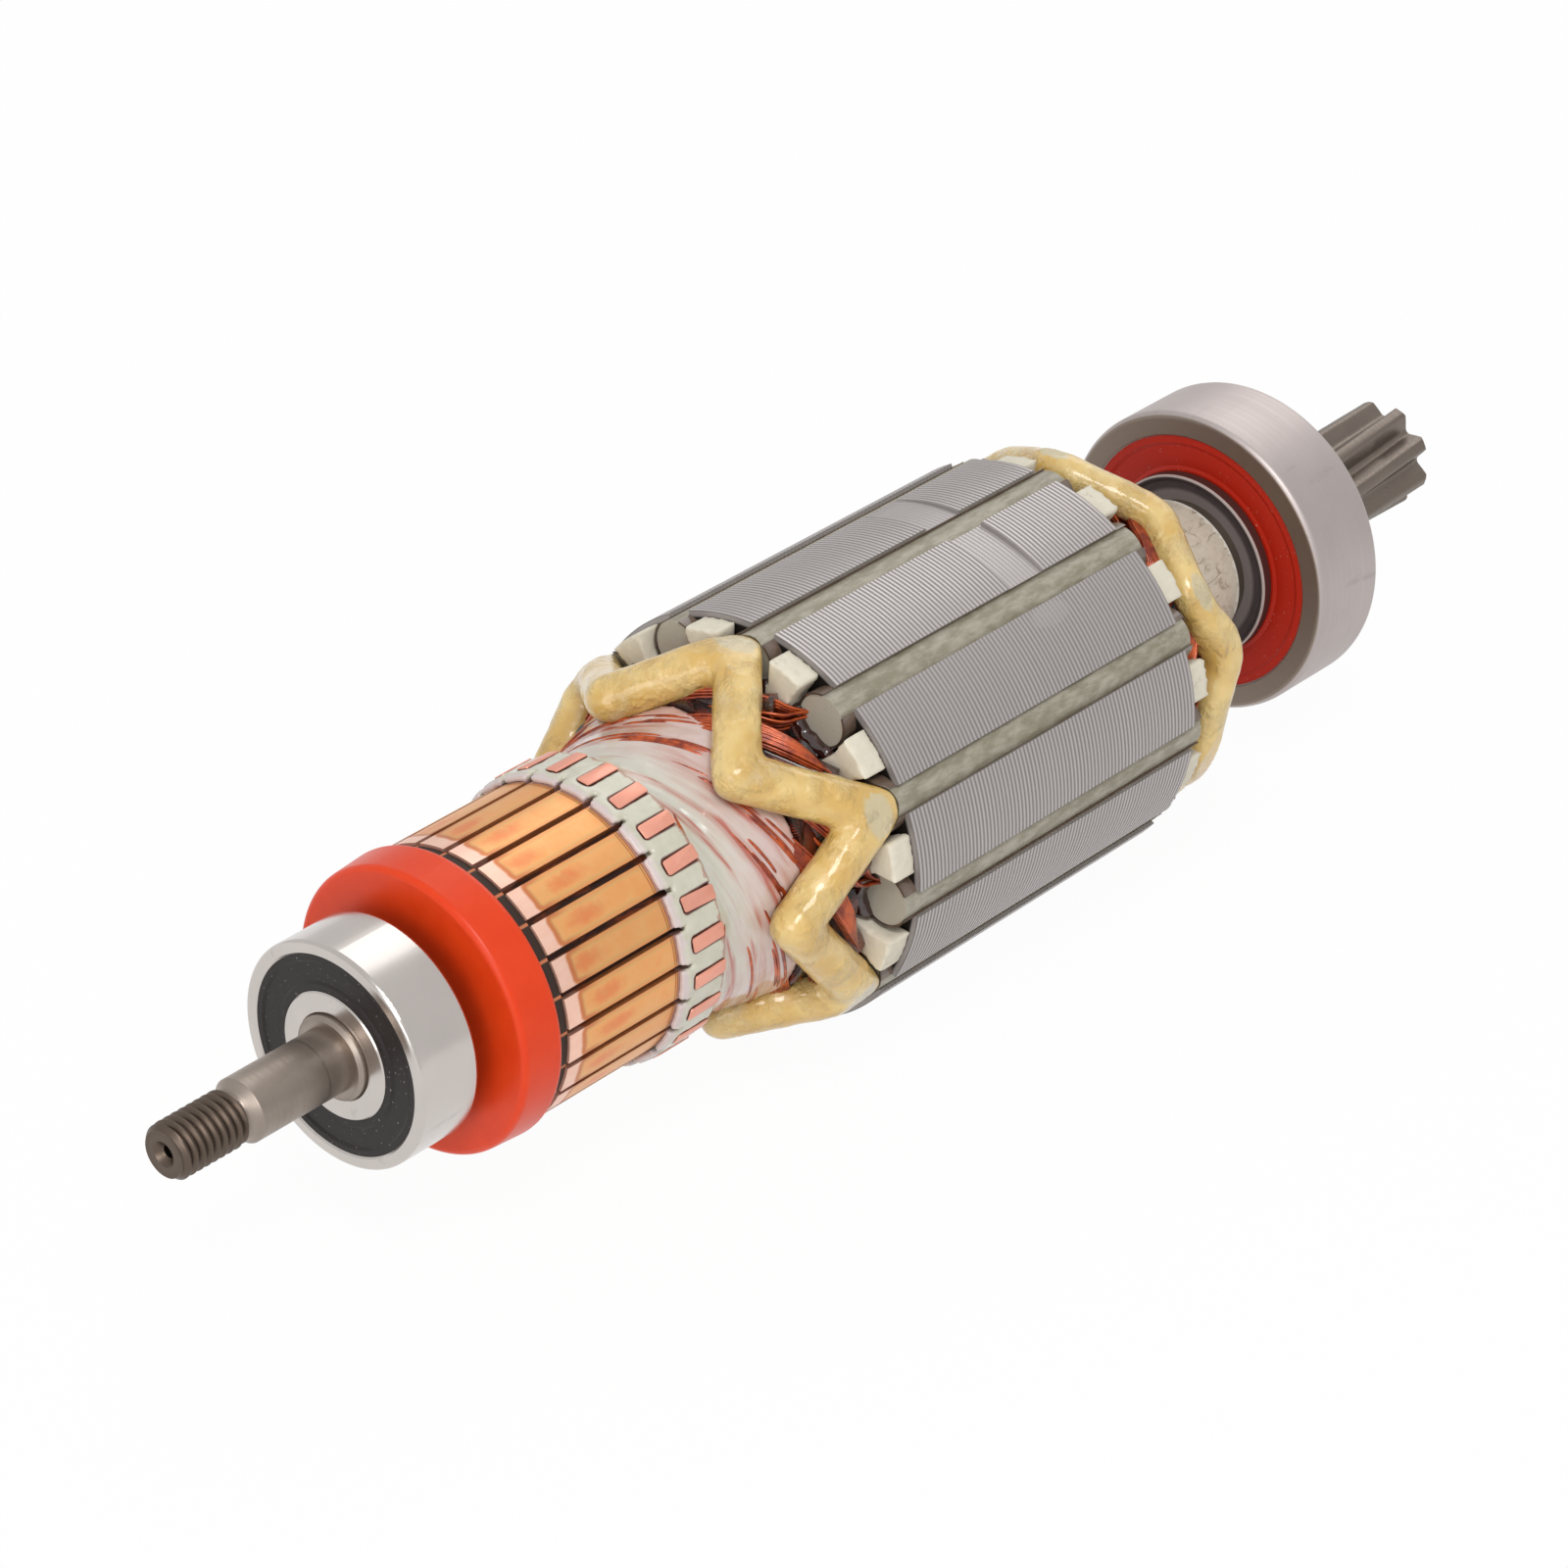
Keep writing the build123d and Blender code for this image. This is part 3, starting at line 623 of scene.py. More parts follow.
# moulding in the slots, nearly black with reddish brown streaks and a copper speck at each slot's mouth
slotMoulding, tree, shader = newFinish("slotMoulding", Roughness=0.5, Specular_IOR_Level=0.2)
at = onShaft(tree)
across = acrossBar(tree, at)[1]
streaks = speckle(tree, stretched(tree, at["place"], 0.2, 1.0), 0.8, 4.0, 0.65)
inRing = step(tree, at["x"], -87.5, -87.2, 1.0, 0.0)
speck = times(tree, inRing, step(tree, unsigned(tree, across), 2.3, 2.5, 0.0, 0.8))
mouldColour = layered(
    tree,
    blendColour(tree, step(tree, streaks, 0.45, 0.7), rgb(48, 30, 23), rgb(132, 66, 36)),
    (inRing, rgb(56, 44, 38)),
    (speck, rgb(214, 132, 92)),
)
paint(tree, shader, mouldColour)
relief(tree, shader, streaks, 0.3, 0.0002)
dress("commutator_hub", slotMoulding)

# resin ring round the tangs, poured soft and grey green with a lilac lip, with painted shade round each tang
riserLook = {"voxel": 0.26, "rounds": 3, "lumps": 0.09, "proud": 0.22}
riserResin, tree, shader = newFinish(
    "riserResin", (0.15, (0.001, 0.001, 0.0008)), Roughness=0.3, Coat_Weight=0.4, Coat_Roughness=0.12
)
at = onShaft(tree)
mottle = speckle(tree, at["place"], 0.5, 4.0)
jagged = plus(tree, at["x"], wobble(tree, at["place"], 1.8, 0.9))
besideTang = outsideOf(tree, at, acrossBar(tree, at)[1], commutatorLook["tang"])
riserColour = layered(
    tree,
    blendColour(tree, mottle, rgb(184, 182, 162), rgb(212, 208, 192)),
    (step(tree, jagged, -66.4, -65.6, 0.7, 0.0), rgb(208, 188, 192)),
    # painted shade: a dark brown band round each tang, where the groove lies
    (band(tree, besideTang, -1.0, 0.24, 0.12), rgb(92, 54, 46)),
    (step(tree, jagged, -59.5, -59.2, 0.0, 0.6), rgb(168, 104, 84)),
)
paint(tree, shader, riserColour)
relief(tree, shader, mottle, 0.3, 0.0004)


def riserSwell(place):
    x, away, angle = polar(place)
    proud = riserLook["proud"] if away > 20.4 and x > -66.0 else 0.0
    return riserLook["lumps"] * noise.noise(place * 900) + proud


riserMesh = reshaped(melted("riser_resin", riserLook["voxel"], riserLook["rounds"]), riserSwell)
swap("pouredRiser", riserMesh, riserResin, "riser_resin")
print("commutator is finished")

# core: grooves between its plates, ground on the outside, dark on the slot walls
coreLook = {
    "plate": 0.75,
    "plates": 80,
    "from": 29.0,
    "grooveHalf": 0.16,
    "grooveDepth": 0.05,
    "light": rgb(186, 180, 178),
    "dark": rgb(112, 106, 104),
    "wall": rgb(62, 56, 50),
    "deep": rgb(26, 22, 18),
    "ground": rgb(174, 168, 166),
    "groundFrom": 29.78,
    "smear": {"middle": 9.4, "half": 4.2, "angle": 37.4, "halfAngle": 0.06},
}
coreSteel, tree, shader = newFinish("coreSteel", Metallic=0.75, Roughness=0.4)
at = onShaft(tree)
plateTurn = doMath(tree, "DIVIDE", at["x"], coreLook["plate"])
plateNumber = doMath(tree, "FLOOR", plateTurn)
withinPlate = doMath(tree, "FRACT", plateTurn)
seam = step(tree, unsigned(tree, minus(tree, withinPlate, 0.5)), 0.14, 0.36)
perPlate = addNode(tree, "TexWhiteNoise", {"noise_dimensions": "1D"}, feeds={"W": plateNumber}).outputs[0]
grain = speckle(tree, stretched(tree, at["place"], 3.0, 0.6), 1.2, 4.0, 0.6)
plateShade = plus(tree, times(tree, perPlate, 0.12), times(tree, grain, 0.2))
plateColour = blendColour(tree, plateShade, coreLook["light"], rgb(160, 153, 152))
groundFlat = step(tree, at["radius"], coreLook["groundFrom"], coreLook["groundFrom"] + 0.12, 0.85, 0.0)
smearLook = coreLook["smear"]
smearAlong = minus(tree, at["x"], smearLook["middle"])
smearAround = minus(tree, at["angle"], math.radians(smearLook["angle"]))
smearFrom = oval(tree, smearAlong, smearLook["half"], smearAround, smearLook["halfAngle"])
worn = doMath(tree, "MAXIMUM", groundFlat, step(tree, smearFrom, 0.7, 1.1, 0.5, 0.0))
outerColour = layered(
    tree, plateColour, (times(tree, seam, 0.62), coreLook["dark"]), (worn, coreLook["ground"])
)
wallColour = blendColour(tree, times(tree, seam, 0.8), coreLook["wall"], coreLook["deep"])
outside = step(tree, at["radius"], 28.9, 29.3)
paint(tree, shader, blendColour(tree, outside, wallColour, outerColour))
paint(tree, shader, step(tree, seam, 0.0, 1.0, 0.36, 0.6), "Roughness")
relief(tree, shader, without(tree, seam), 0.2, 0.00006)

# the core's copy has real grooves, cut from one end to the other through the outer faces only
hair = 0.0000005


def farX(part):  # a point's place along the shaft, or the far end of an edge or face
    return part.co.x if isinstance(part, bmesh.types.BMVert) else max(vert.co.x for vert in part.verts)


coreForm = flattened("core_stack")
uncut = [face for face in coreForm.faces if all(awayOf(vert.co) > coreLook["from"] for vert in face.verts)]
uncutEdges = {edge for face in uncut for edge in face.edges}
uncut += [*uncutEdges, *{vert for edge in uncutEdges for vert in edge.verts}]
grooveVerts = []
for k in range(1 - coreLook["plates"] // 2, coreLook["plates"] // 2):
    for aside in (-coreLook["grooveHalf"], 0, coreLook["grooveHalf"]):
        cut = (k * coreLook["plate"] + aside) * mm
        plane = {"plane_co": (cut, 0, 0), "plane_no": (1, 0, 0)}
        parts = bmesh.ops.bisect_plane(coreForm, geom=uncut, dist=hair, **plane)
        if aside == 0:
            grooveVerts += [part for part in parts["geom_cut"] if isinstance(part, bmesh.types.BMVert)]
        uncut = [part for part in parts["geom"] if farX(part) > cut - hair]
for vert in grooveVerts:
    drawIn(vert, 1 - coreLook["grooveDepth"] / awayOf(vert.co))
coreMesh = finishForm("coreWithPlates", coreForm)
sharpen(coreMesh, 25)
swap("coreWithPlates", coreMesh, coreSteel, "core_stack")

# slot wedges, round rods under a film of grey-brown varnish
wedgeRod, tree, shader = newFinish("wedgeRod", Roughness=0.5, Coat_Weight=0.15, Coat_Roughness=0.3)
at = onShaft(tree)
film = speckle(tree, stretched(tree, at["place"], 0.35, 1.0), 0.8, 6.0, 0.65)
spots = speckle(tree, at["place"], 2.6, 3.0, 0.6)
wedgeColour = layered(
    tree,
    blendColour(tree, step(tree, film, 0.35, 0.68), rgb(134, 127, 108), rgb(166, 160, 144)),
    (step(tree, unsigned(tree, at["x"]), 32.1, 32.18), rgb(172, 166, 152)),
    (step(tree, spots, 0.6, 0.72, 0.0, 0.3), rgb(92, 86, 68)),
)
paint(tree, shader, wedgeColour)
relief(tree, shader, plus(tree, film, times(tree, spots, 0.4)), 0.3, 0.0002)
dress("slot_wedges", wedgeRod)

# end insulators, chalky white, a little stained and chipped
blockLook = {"voxel": 0.45, "rounds": 1, "chips": 0.12, "grain": 0.04}
whiteInsulator, tree, shader = newFinish("whiteInsulator", Roughness=0.62)
at = onShaft(tree)
chalk = speckle(tree, at["place"], 0.8, 5.0, 0.6)
stains = speckle(tree, at["place"], 0.3, 5.0, 0.65)
insulatorColour = blendColour(tree, chalk, rgb(206, 198, 178), rgb(228, 221, 204))
stained = step(tree, stains, 0.58, 0.72, 0.0, 0.55)
paint(tree, shader, blendColour(tree, stained, insulatorColour, rgb(150, 128, 104)))
relief(tree, shader, chalk, 0.35, 0.0003)


def chipped(place):
    chips = min(noise.noise(place * 380) + 0.15, 0.0)
    return blockLook["chips"] * chips + blockLook["grain"] * noise.noise(place * 1500)


for end in ("front", "rear"):
    blockMesh = reshaped(melted(end + "_end_insulator", blockLook["voxel"], blockLook["rounds"]), chipped)
    swap(end + "Blocks", blockMesh, whiteInsulator, end + "_end_insulator")

# slot paper, soaked dark with varnish deep in the slots and past the blocks
paperLook = {"end": 32.4}
slotPaper, tree, shader = newFinish("slotPaper", Roughness=0.4, Coat_Weight=0.8, Coat_Roughness=0.08)
at = onShaft(tree)
fibre = speckle(tree, at["place"], 0.9, 5.0, 0.6)
paperColour = blendColour(tree, fibre, rgb(76, 60, 50), rgb(122, 102, 86))
pastBlocks = step(tree, unsigned(tree, at["x"]), 31.6, 33.2)
soaked = doMath(tree, "MAXIMUM", pastBlocks, step(tree, at["radius"], 26.5, 27.8, 1.0, 0.0))
paint(tree, shader, blendColour(tree, times(tree, soaked, 0.92), paperColour, rgb(40, 22, 16)))
relief(tree, shader, fibre, 0.3, 0.0002)
linerForm = copyOfNode("slot_liners")
for side in (-1, 1):
    bmesh.ops.bisect_plane(
        linerForm,
        geom=linerForm.verts[:] + linerForm.edges[:] + linerForm.faces[:],
        plane_co=(side * paperLook["end"] * mm, 0, 0),
        plane_no=(side, 0, 0),
        clear_outer=True,
    )
bmesh.ops.holes_fill(linerForm, edges=[edge for edge in linerForm.edges if edge.is_boundary])
linerMesh = finishForm("slotPapers", linerForm)
sharpen(linerMesh, 35)
swap("slotPapers", linerMesh, slotPaper, "slot_liners")

# varnished copper: bulk and loose turns, which lean round the shaft as they go out
windingLook = {"slots": 12, "endFace": 34.2, "lean": 2.25, "curl": 0.1875, "first": -11.0}
slots = windingLook["slots"]
endFace = windingLook["endFace"]


def sweepOf(out):  # degrees that a turn has gone round the shaft this far out from the end of the core
    return windingLook["lean"] * out + windingLook["curl"] * out * out


def sweptTurn(tree, at):  # in a shader: the angle with that sweep taken back, in radians, and the way out
    out = minus(tree, unsigned(tree, at["x"]), endFace)
    curl = times(tree, times(tree, out, out), windingLook["curl"])
    swept = plus(tree, times(tree, out, windingLook["lean"]), curl)
    return plus(tree, at["angle"], doMath(tree, "RADIANS", swept)), out


varnishedBulk, tree, shader = newFinish("varnishedBulk", Roughness=0.25, Coat_Weight=1.0, Coat_Roughness=0.03)
at = onShaft(tree)
turned = sweptTurn(tree, at)[0]
strand = doMath(tree, "SINE", times(tree, turned, 360.0))
pools = speckle(tree, at["place"], 0.35, 3.0)
bulkShade = times(tree, step(tree, strand, -0.4, 1.0), step(tree, pools, 0.42, 0.6))
paint(tree, shader, blendColour(tree, bulkShade, rgb(30, 12, 9), rgb(150, 56, 28)))
relief(tree, shader, plus(tree, pools, times(tree, strand, 0.08)), 0.6, 0.0008)
for name in ("front_winding_overhang", "slot_coils"):
    dress(name, varnishedBulk)
rearLook = {"voxel": 0.5, "rounds": 45, "lumps": 0.35, "sunk": 0.25}


def rearBulge(place):
    return rearLook["lumps"] * noise.noise(place * 240) - rearLook["sunk"]


rearHead = reshaped(melted("rear_winding_overhang", rearLook["voxel"], rearLook["rounds"]), rearBulge)
swap("rearHead", rearHead, varnishedBulk, "rear_winding_overhang")

windingWire, tree, shader = newFinish(
    "windingWire", Metallic=0.45, Roughness=0.3, Coat_Weight=0.6, Coat_Roughness=0.08
)
at = onShaft(tree)
worn = speckle(tree, at["place"], 0.45, 5.0, 0.6)
paint(tree, shader, blendColour(tree, step(tree, worn, 0.35, 0.65), rgb(126, 38, 12), rgb(200, 88, 32)))

# milky resin over the leads, grey green by the risers, lilac further back and red over a shallow lead
resinLook = {"voxel": 0.5, "rounds": 6, "swell": 0.30}
milkyResin, tree, shader = newFinish(
    "milkyResin", (0.3, (0.0020, 0.0011, 0.0009)), Roughness=0.18, Coat_Weight=0.9, Coat_Roughness=0.04
)
at = onShaft(tree)
turned, out = sweptTurn(tree, at)
cosine, sine = (doMath(tree, wave, turned) for wave in ("COSINE", "SINE"))
alongLeads = joined(tree, cosine, sine, times(tree, out, 0.07))
turnShare = times(tree, minus(tree, turned, math.radians(windingLook["first"])), slots / (2 * math.pi))
turnShare = plus(tree, turnShare, wobble(tree, at["place"], 0.5, 0.14, 2.0))
offBundle = unsigned(tree, minus(tree, turnShare, doMath(tree, "ROUND", turnShare)))
inBundle = step(tree, offBundle, 0.10, 0.36, 1.0, 0.0)
shallow = step(tree, speckle(tree, alongLeads, 2.6, 3.0, 0.55), 0.42, 0.58)
strands = step(tree, speckle(tree, alongLeads, 8.0, 1.0, 0.4), 0.45, 0.62, 0.36, 0.81)
glow = times(tree, times(tree, inBundle, shallow), strands)
deeper = step(tree, speckle(tree, alongLeads, 4.0, 2.0, 0.5), 0.42, 0.62, 0.0, 0.6)
cloudy = speckle(tree, at["place"], 0.16)
byRisers = step(tree, plus(tree, out, times(tree, cloudy, 6.0)), 17.0, 25.0)
resinColour = layered(
    tree,
    blendColour(tree, byRisers, rgb(206, 184, 178), rgb(208, 206, 192)),
    (times(tree, deeper, without(tree, byRisers)), rgb(186, 132, 118)),
    (glow, rgb(176, 62, 34)),
)
paint(tree, shader, resinColour)
swell = plus(tree, speckle(tree, alongLeads, 2.2, 1.0, 0.4), speckle(tree, at["place"], 0.2, 2.0, 0.4))
relief(tree, shader, swell, 0.5, 0.0014)


def resinSwell(place):  # long swells that lean as the leads do
    x, away, angle = polar(place)
    leaning = around(0, 9.0, angle + sweepOf(-x - endFace)) * 260
    return resinLook["swell"] * noise.noise(leaning + Vector((place.x * 30, 0, 0)))


resinMesh = reshaped(melted("lead_resin", resinLook["voxel"], resinLook["rounds"]), resinSwell)
swap("pouredResin", resinMesh, milkyResin, "lead_resin")

# sleeve, a mottled white moulding with brown flecks
sleevePlastic, tree, shader = newFinish("sleevePlastic", Roughness=0.38, Coat_Weight=0.3, Coat_Roughness=0.15)
at = onShaft(tree)
smudge = speckle(tree, stretched(tree, at["place"], 0.6, 1.0), 0.5, 7.0, 0.75, 1.2)
fleck = speckle(tree, at["place"], 0.9, 5.0, 0.7)
torn = speckle(tree, stretched(tree, at["place"], 0.3, 1.0), 0.9, 4.0, 0.7)
nearEnd = plus(tree, at["x"], times(tree, torn, 3.0))
sleeveColour = layered(
    tree,
    blendColour(tree, fleck, rgb(192, 180, 158), rgb(224, 216, 202)),
    (step(tree, smudge, 0.52, 0.66, 0.0, 0.8), rgb(146, 130, 106)),
    (step(tree, smudge, 0.68, 0.74, 0.0, 0.7), rgb(96, 82, 66)),
    (step(tree, nearEnd, 66.3, 66.6, 0.0, 0.8), rgb(238, 232, 222)),
)
paint(tree, shader, sleeveColour)
relief(tree, shader, fleck, 0.2, 0.0003)
dress("shaft_insulation_sleeve", sleevePlastic)
print("core, insulation and windings are finished")

# shaft: drawn steel with a few bright scratches, browner on the thread and duller on the pinion
shaftSteel, tree, shader = newFinish("shaftSteel", Metallic=1.0)
at = onShaft(tree)
drawn = speckle(tree, joined(tree, at["x"], at["radius"]), 2.2, 2.0, 0.6)
cloud = speckle(tree, at["place"], 0.16, 5.0, 0.6)
scratches = speckle(tree, stretched(tree, at["place"], 0.5, 1.6), 0.9, 4.0, 0.7)
shaftColour = layered(
    tree,
    blendColour(tree, cloud, rgb(138, 126, 116), rgb(172, 160, 150)),
    (step(tree, scratches, 0.68, 0.74, 0.0, 0.6), rgb(200, 194, 188)),
    (step(tree, at["x"], -128.4, -127.2, 0.85, 0.0), rgb(88, 74, 64)),
    (step(tree, at["x"], 90.0, 100.0, 0.0, 0.8), rgb(112, 102, 94)),
)
paint(tree, shader, shaftColour)
paint(tree, shader, step(tree, drawn, 0.3, 0.7, 0.34, 0.48), "Roughness")
relief(tree, shader, drawn, 0.12, 0.00003)

# the shaft's copy has a real thread cut at its low end
threadCut = {"tip": -139.2, "end": -127.8, "pitch": 1.25, "crest": 3.95, "root": 3.28, "steps": 40}
shaftForm = copyOfNode("shaft")
for vert in shaftForm.verts:
    away = awayOf(vert.co)
    if vert.co.x / mm < threadCut["end"] + 0.15 and away > threadCut["root"]:
        drawIn(vert, threadCut["root"] / away)
bmesh.ops.remove_doubles(shaftForm, verts=shaftForm.verts, dist=0.000002)
threadForm = bmesh.new()
startX = threadCut["tip"] - threadCut["pitch"]
profile = [
    (0.0, threadCut["root"]),
    (0.10, threadCut["root"]),
    (0.52, threadCut["crest"] - 0.05),
    (0.58, threadCut["crest"]),
    (0.72, threadCut["crest"]),
    (0.78, threadCut["crest"] - 0.05),
    (1.20, threadCut["root"]),
    (threadCut["pitch"], threadCut["root"]),
]
profileVerts = [threadForm.verts.new(around(startX + dx, r, 0)) for dx, r in profile]
profileEdges = [threadForm.edges.new(pair) for pair in zip(profileVerts, profileVerts[1:])]
turns = math.ceil((threadCut["end"] - startX) / threadCut["pitch"]) + 1
bmesh.ops.spin(
    threadForm,
    geom=profileVerts + profileEdges,
    cent=(0, 0, 0),
    axis=(1, 0, 0),
    dvec=(threadCut["pitch"] / threadCut["steps"] * mm, 0, 0),
    angle=2 * math.pi * turns,
    steps=threadCut["steps"] * turns,
    use_merge=False,
    use_duplicate=False,
)
bmesh.ops.remove_doubles(threadForm, verts=threadForm.verts, dist=0.000004)
for vert in threadForm.verts:  # the thread runs out at both ends
    x, away = vert.co.x / mm, awayOf(vert.co)
    limit = threadCut["root"] + min(0.9 * (x - threadCut["tip"]), 1.1 * (threadCut["end"] - x))
    drawIn(vert, min(away, max(limit, threadCut["root"] - 0.02)) / away)
    vert.co.x = min(max(x, threadCut["tip"] + 0.02), threadCut["end"]) * mm
bmesh.ops.recalc_face_normals(threadForm, faces=threadForm.faces)
threadMesh = finishForm("threadCoils", threadForm)
shaftForm.from_mesh(threadMesh)
shaftMesh = finishForm("shaftWithThread", shaftForm)
sharpen(shaftMesh, 28)
swap("shaftWithThread", shaftMesh, shaftSteel, "shaft")
print("shaft has its thread")

# lacing cords: soft and lumpy, wrinkled where the glue set, with grey ovals where they were pressed flat
cordLook = {
    "voxel": 0.45,
    "lumps": 0.13,
    "ovalSize": (2.6, 3.5),
    "dip": 0.32,
    "front": {
        "flat": 29.6,
        "rounds": 14,
        "plump": 0.0,
        "ovals": [(0.1, -1.5), (0.5, 60.5), (0.5, 120), (0.8, 180), (0.4, 240)],
        "bulge": {"out": 0, "angle": 0, "high": 0},
    },
    "rear": {
        "flat": 29.1,
        "rounds": 10,
        "plump": 0.3,
        "ovals": [(3.0, 53.0), (2.7, -10.0), (3.0, 172.0), (2.8, 235.0)],
        "bulge": {"out": 7.5, "angle": 68.5, "high": 0.9},
    },
}
lacingCord, tree, shader = newFinish(
    "lacingCord", (0.25, (0.003, 0.0018, 0.0006)), Roughness=0.32, Coat_Weight=0.7, Coat_Roughness=0.08
)
at = onShaft(tree)
tone = speckle(tree, at["place"], 0.14, 4.0, 0.55)
wrinkles = speckle(tree, at["place"], 1.1, 5.0, 0.65, 0.5)
where = speckle(tree, at["place"], 0.22)
pressed = addNode(tree, "Attribute", {"attribute_name": "pressed"}).outputs["Fac"]
cordColour = layered(
    tree,
    blendColour(tree, step(tree, tone, 0.35, 0.65), rgb(208, 170, 92), rgb(224, 196, 130)),
    (step(tree, where, 0.58, 0.75, 0.0, 0.5), rgb(216, 198, 158)),
    (step(tree, pressed, 0.35, 0.75, 0.0, 0.9), rgb(200, 187, 152)),
)
paint(tree, shader, cordColour)
paint(tree, shader, step(tree, pressed, 0.3, 0.7, 0.32, 0.5), "Roughness")
wrinkled = times(tree, step(tree, where, 0.42, 0.6), wrinkles)
relief(tree, shader, plus(tree, tone, times(tree, wrinkled, 1.1)), 0.6, 0.0011)


def ovalAt(ovals, x, angle):  # 0 in the middle of the nearest oval, 1 on its border
    along, aside = cordLook["ovalSize"]
    return min(
        math.hypot((abs(x) - endFace - out) / along, math.radians(turnFrom(angle, middle)) * 29.0 / aside)
        for out, middle in ovals
    )


def cordPiece(end):
    look = cordLook[end]
    bulge = look["bulge"]

    def swelling(place):
        x, away, angle = polar(place)
        aside = math.radians(turnFrom(angle, bulge["angle"])) * 28
        apart = math.hypot((abs(x) - endFace - bulge["out"]) / 3.0, aside / 4.0)
        lump = noise.noise(place * 260) + 0.6 * noise.noise(place * 620)
        return look["plump"] + cordLook["lumps"] * lump + bulge["high"] * math.exp(-apart * apart)

    mesh = reshaped(melted(end + "_lacing_cord", cordLook["voxel"], look["rounds"]), swelling)
    marks = []
    for vert in mesh.vertices:
        x, away, angle = polar(vert.co)
        border = ovalAt(look["ovals"], x, angle)
        top = look["flat"] - cordLook["dip"] * min(max(border - 0.85, 0.0), 1.2) ** 1.5
        marks.append(min(max(1.5 - border, 0.0), 1.0) if away > top - 0.12 else 0.0)
        if away > top:
            vert.co = around(x, top, angle)
    layer = mesh.attributes.new("pressed", "FLOAT", "POINT")
    layer.data.foreach_set("value", marks)
    swap(end + "Lacing", mesh, lacingCord, end + "_lacing_cord")


cordPiece("front")
cordPiece("rear")
print("lacing cords are made")

# loose turns of wire: from each slot a stack comes straight out and a fan crosses over it
# a fan's waypoints: way out, drop, further drop for each wire, shares of its stray and of the spread
# a stack's waypoints: way out, share of its stray, most height, drop and degrees gone round
wireLook = {
    "thick": 0.215,
    "fan": 9,
    "layers": 3,
    "fanHeight": 25.5,
    "fanSpread": 1.55,
    "fanPath": [
        (1.2, 0.0, 0.14, 0.0, 0.35),
        (2.9, 0.0, 0.0, 0.0, 0.7),
        (5.0, 0.5, 0.0, 0.0, 1.0),
        (7.2, 1.4, 0.0, 0.0, 1.0),
        (9.6, 2.9, 0.0, 0.3, 1.0),
        (12.0, 4.7, 0.0, 0.0, 1.0),
    ],
    "stack": 12,
    "stackHeight": 24.9,
    "stackPath": [
        (-0.9, 0.0, 25.0, 0.0, 6.0),
        (1.3, 0.0, 25.0, 0.0, 6.8),
        (2.9, 0.3, 25.0, 0.1, 10.0),
        (4.4, 0.0, 23.8, 0.1, 17.0),
        (6.5, 0.0, 22.8, 0.2, 29.0),
        (8.6, 0.0, 21.6, 0.3, 42.0),
    ],
    "apart": 0.44,
}


def wirePiece(name, runs):
    route = bpy.data.curves.new(name + "Route", "CURVE")
    route.dimensions = "3D"
    route.bevel_depth = wireLook["thick"] * mm
    route.bevel_resolution = 1
    route.use_fill_caps = True
    route.resolution_u = 3
    for run in runs:
        spline = route.splines.new("NURBS")
        spline.points.add(len(run) - 1)
        for point, place in zip(spline.points, run):
            point.co = (*place, 1)
        spline.use_endpoint_u = True
        spline.order_u = 3
    mesh = resultOf(bpy.data.objects.new(name + "Work", route), name)
    return addPiece(name, mesh, windingWire)


def scatter(seed, index):  # a repeatable number from -1 to 1
    spot = Vector((seed * 3.17 + 0.5, index * 1.73 + 0.25, seed * 0.61 - index * 0.37))
    return noise.noise(spot * 1.9) * 1.8


def fanTurn(outward, slot, layer, n, stray):
    high = wireLook["fanHeight"] - wireLook["apart"] * layer - 0.05 * n
    first = slot + windingLook["first"] + 0.6 * layer
    run = [
        around(outward * (endFace - 2.6), high - 0.8 - 0.40 * n, slot - 5.2),
        around(outward * (endFace - 0.2), high - 0.5 - 0.36 * n, slot - 8.0 - 0.1 * n),
    ]
    for out, drop, dropEach, strayShare, spreadShare in wireLook["fanPath"]:
        angle = first - sweepOf(out) - spreadShare * (wireLook["fanSpread"] * n + stray)
        run.append(around(outward * (endFace + out), high - drop - dropEach * n + strayShare * stray, angle))
    return run


def stackTurn(outward, slot, n, side):
    high = wireLook["stackHeight"] - wireLook["apart"] * n
    run = [around(outward * (endFace - 3.0), high, slot - 4.2)]
    for out, strayShare, most, drop, gone in wireLook["stackPath"]:
        x = outward * (endFace + out + strayShare * side)
        run.append(around(x, min(high, most) - drop, slot - gone + side))
    return run


def endTurns(outward, seed):
    runs = []
    for k in range(slots):
        slot = 360 / slots * k
        for layer in range(wireLook["layers"]):
            for n in range(wireLook["fan"]):
                runs.append(fanTurn(outward, slot, layer, n, 0.5 * scatter(seed + k + 13 * layer, n)))
        for n in range(wireLook["stack"]):
            runs.append(stackTurn(outward, slot, n, 0.7 * scatter(seed + k + 60, n)))
    return runs


wirePiece("frontTurns", endTurns(-1, 1))
wirePiece("rearTurns", endTurns(1, 7))


def skinOf(mesh):
    form = formOf(mesh)
    skin = BVHTree.FromBMesh(form)
    form.free()
    return skin


# over the rear head each bundle goes from its slot past the sleeve and down to the slot five further on
headLook = {
    "middle": 4.0,
    "wires": 10,
    "points": 17,
    "span": 150.0,
    "steepest": 64.0,
    "apart": 1.9,
    "lift": 0.55,
    "lowest": 0.12,
}
headSkin = skinOf(rearHead)


def onHead(slope, angle, lift):  # slope is 0 straight out from the shaft and 90 along it
    middle = around(endFace + headLook["middle"], 0, 0)
    tilt = math.radians(slope)
    away = around(60 * math.sin(tilt), 60 * math.cos(tilt), angle)
    place = headSkin.ray_cast(middle + away, -away.normalized())[0]
    return (place or middle + away * 0.3) + away.normalized() * lift * mm


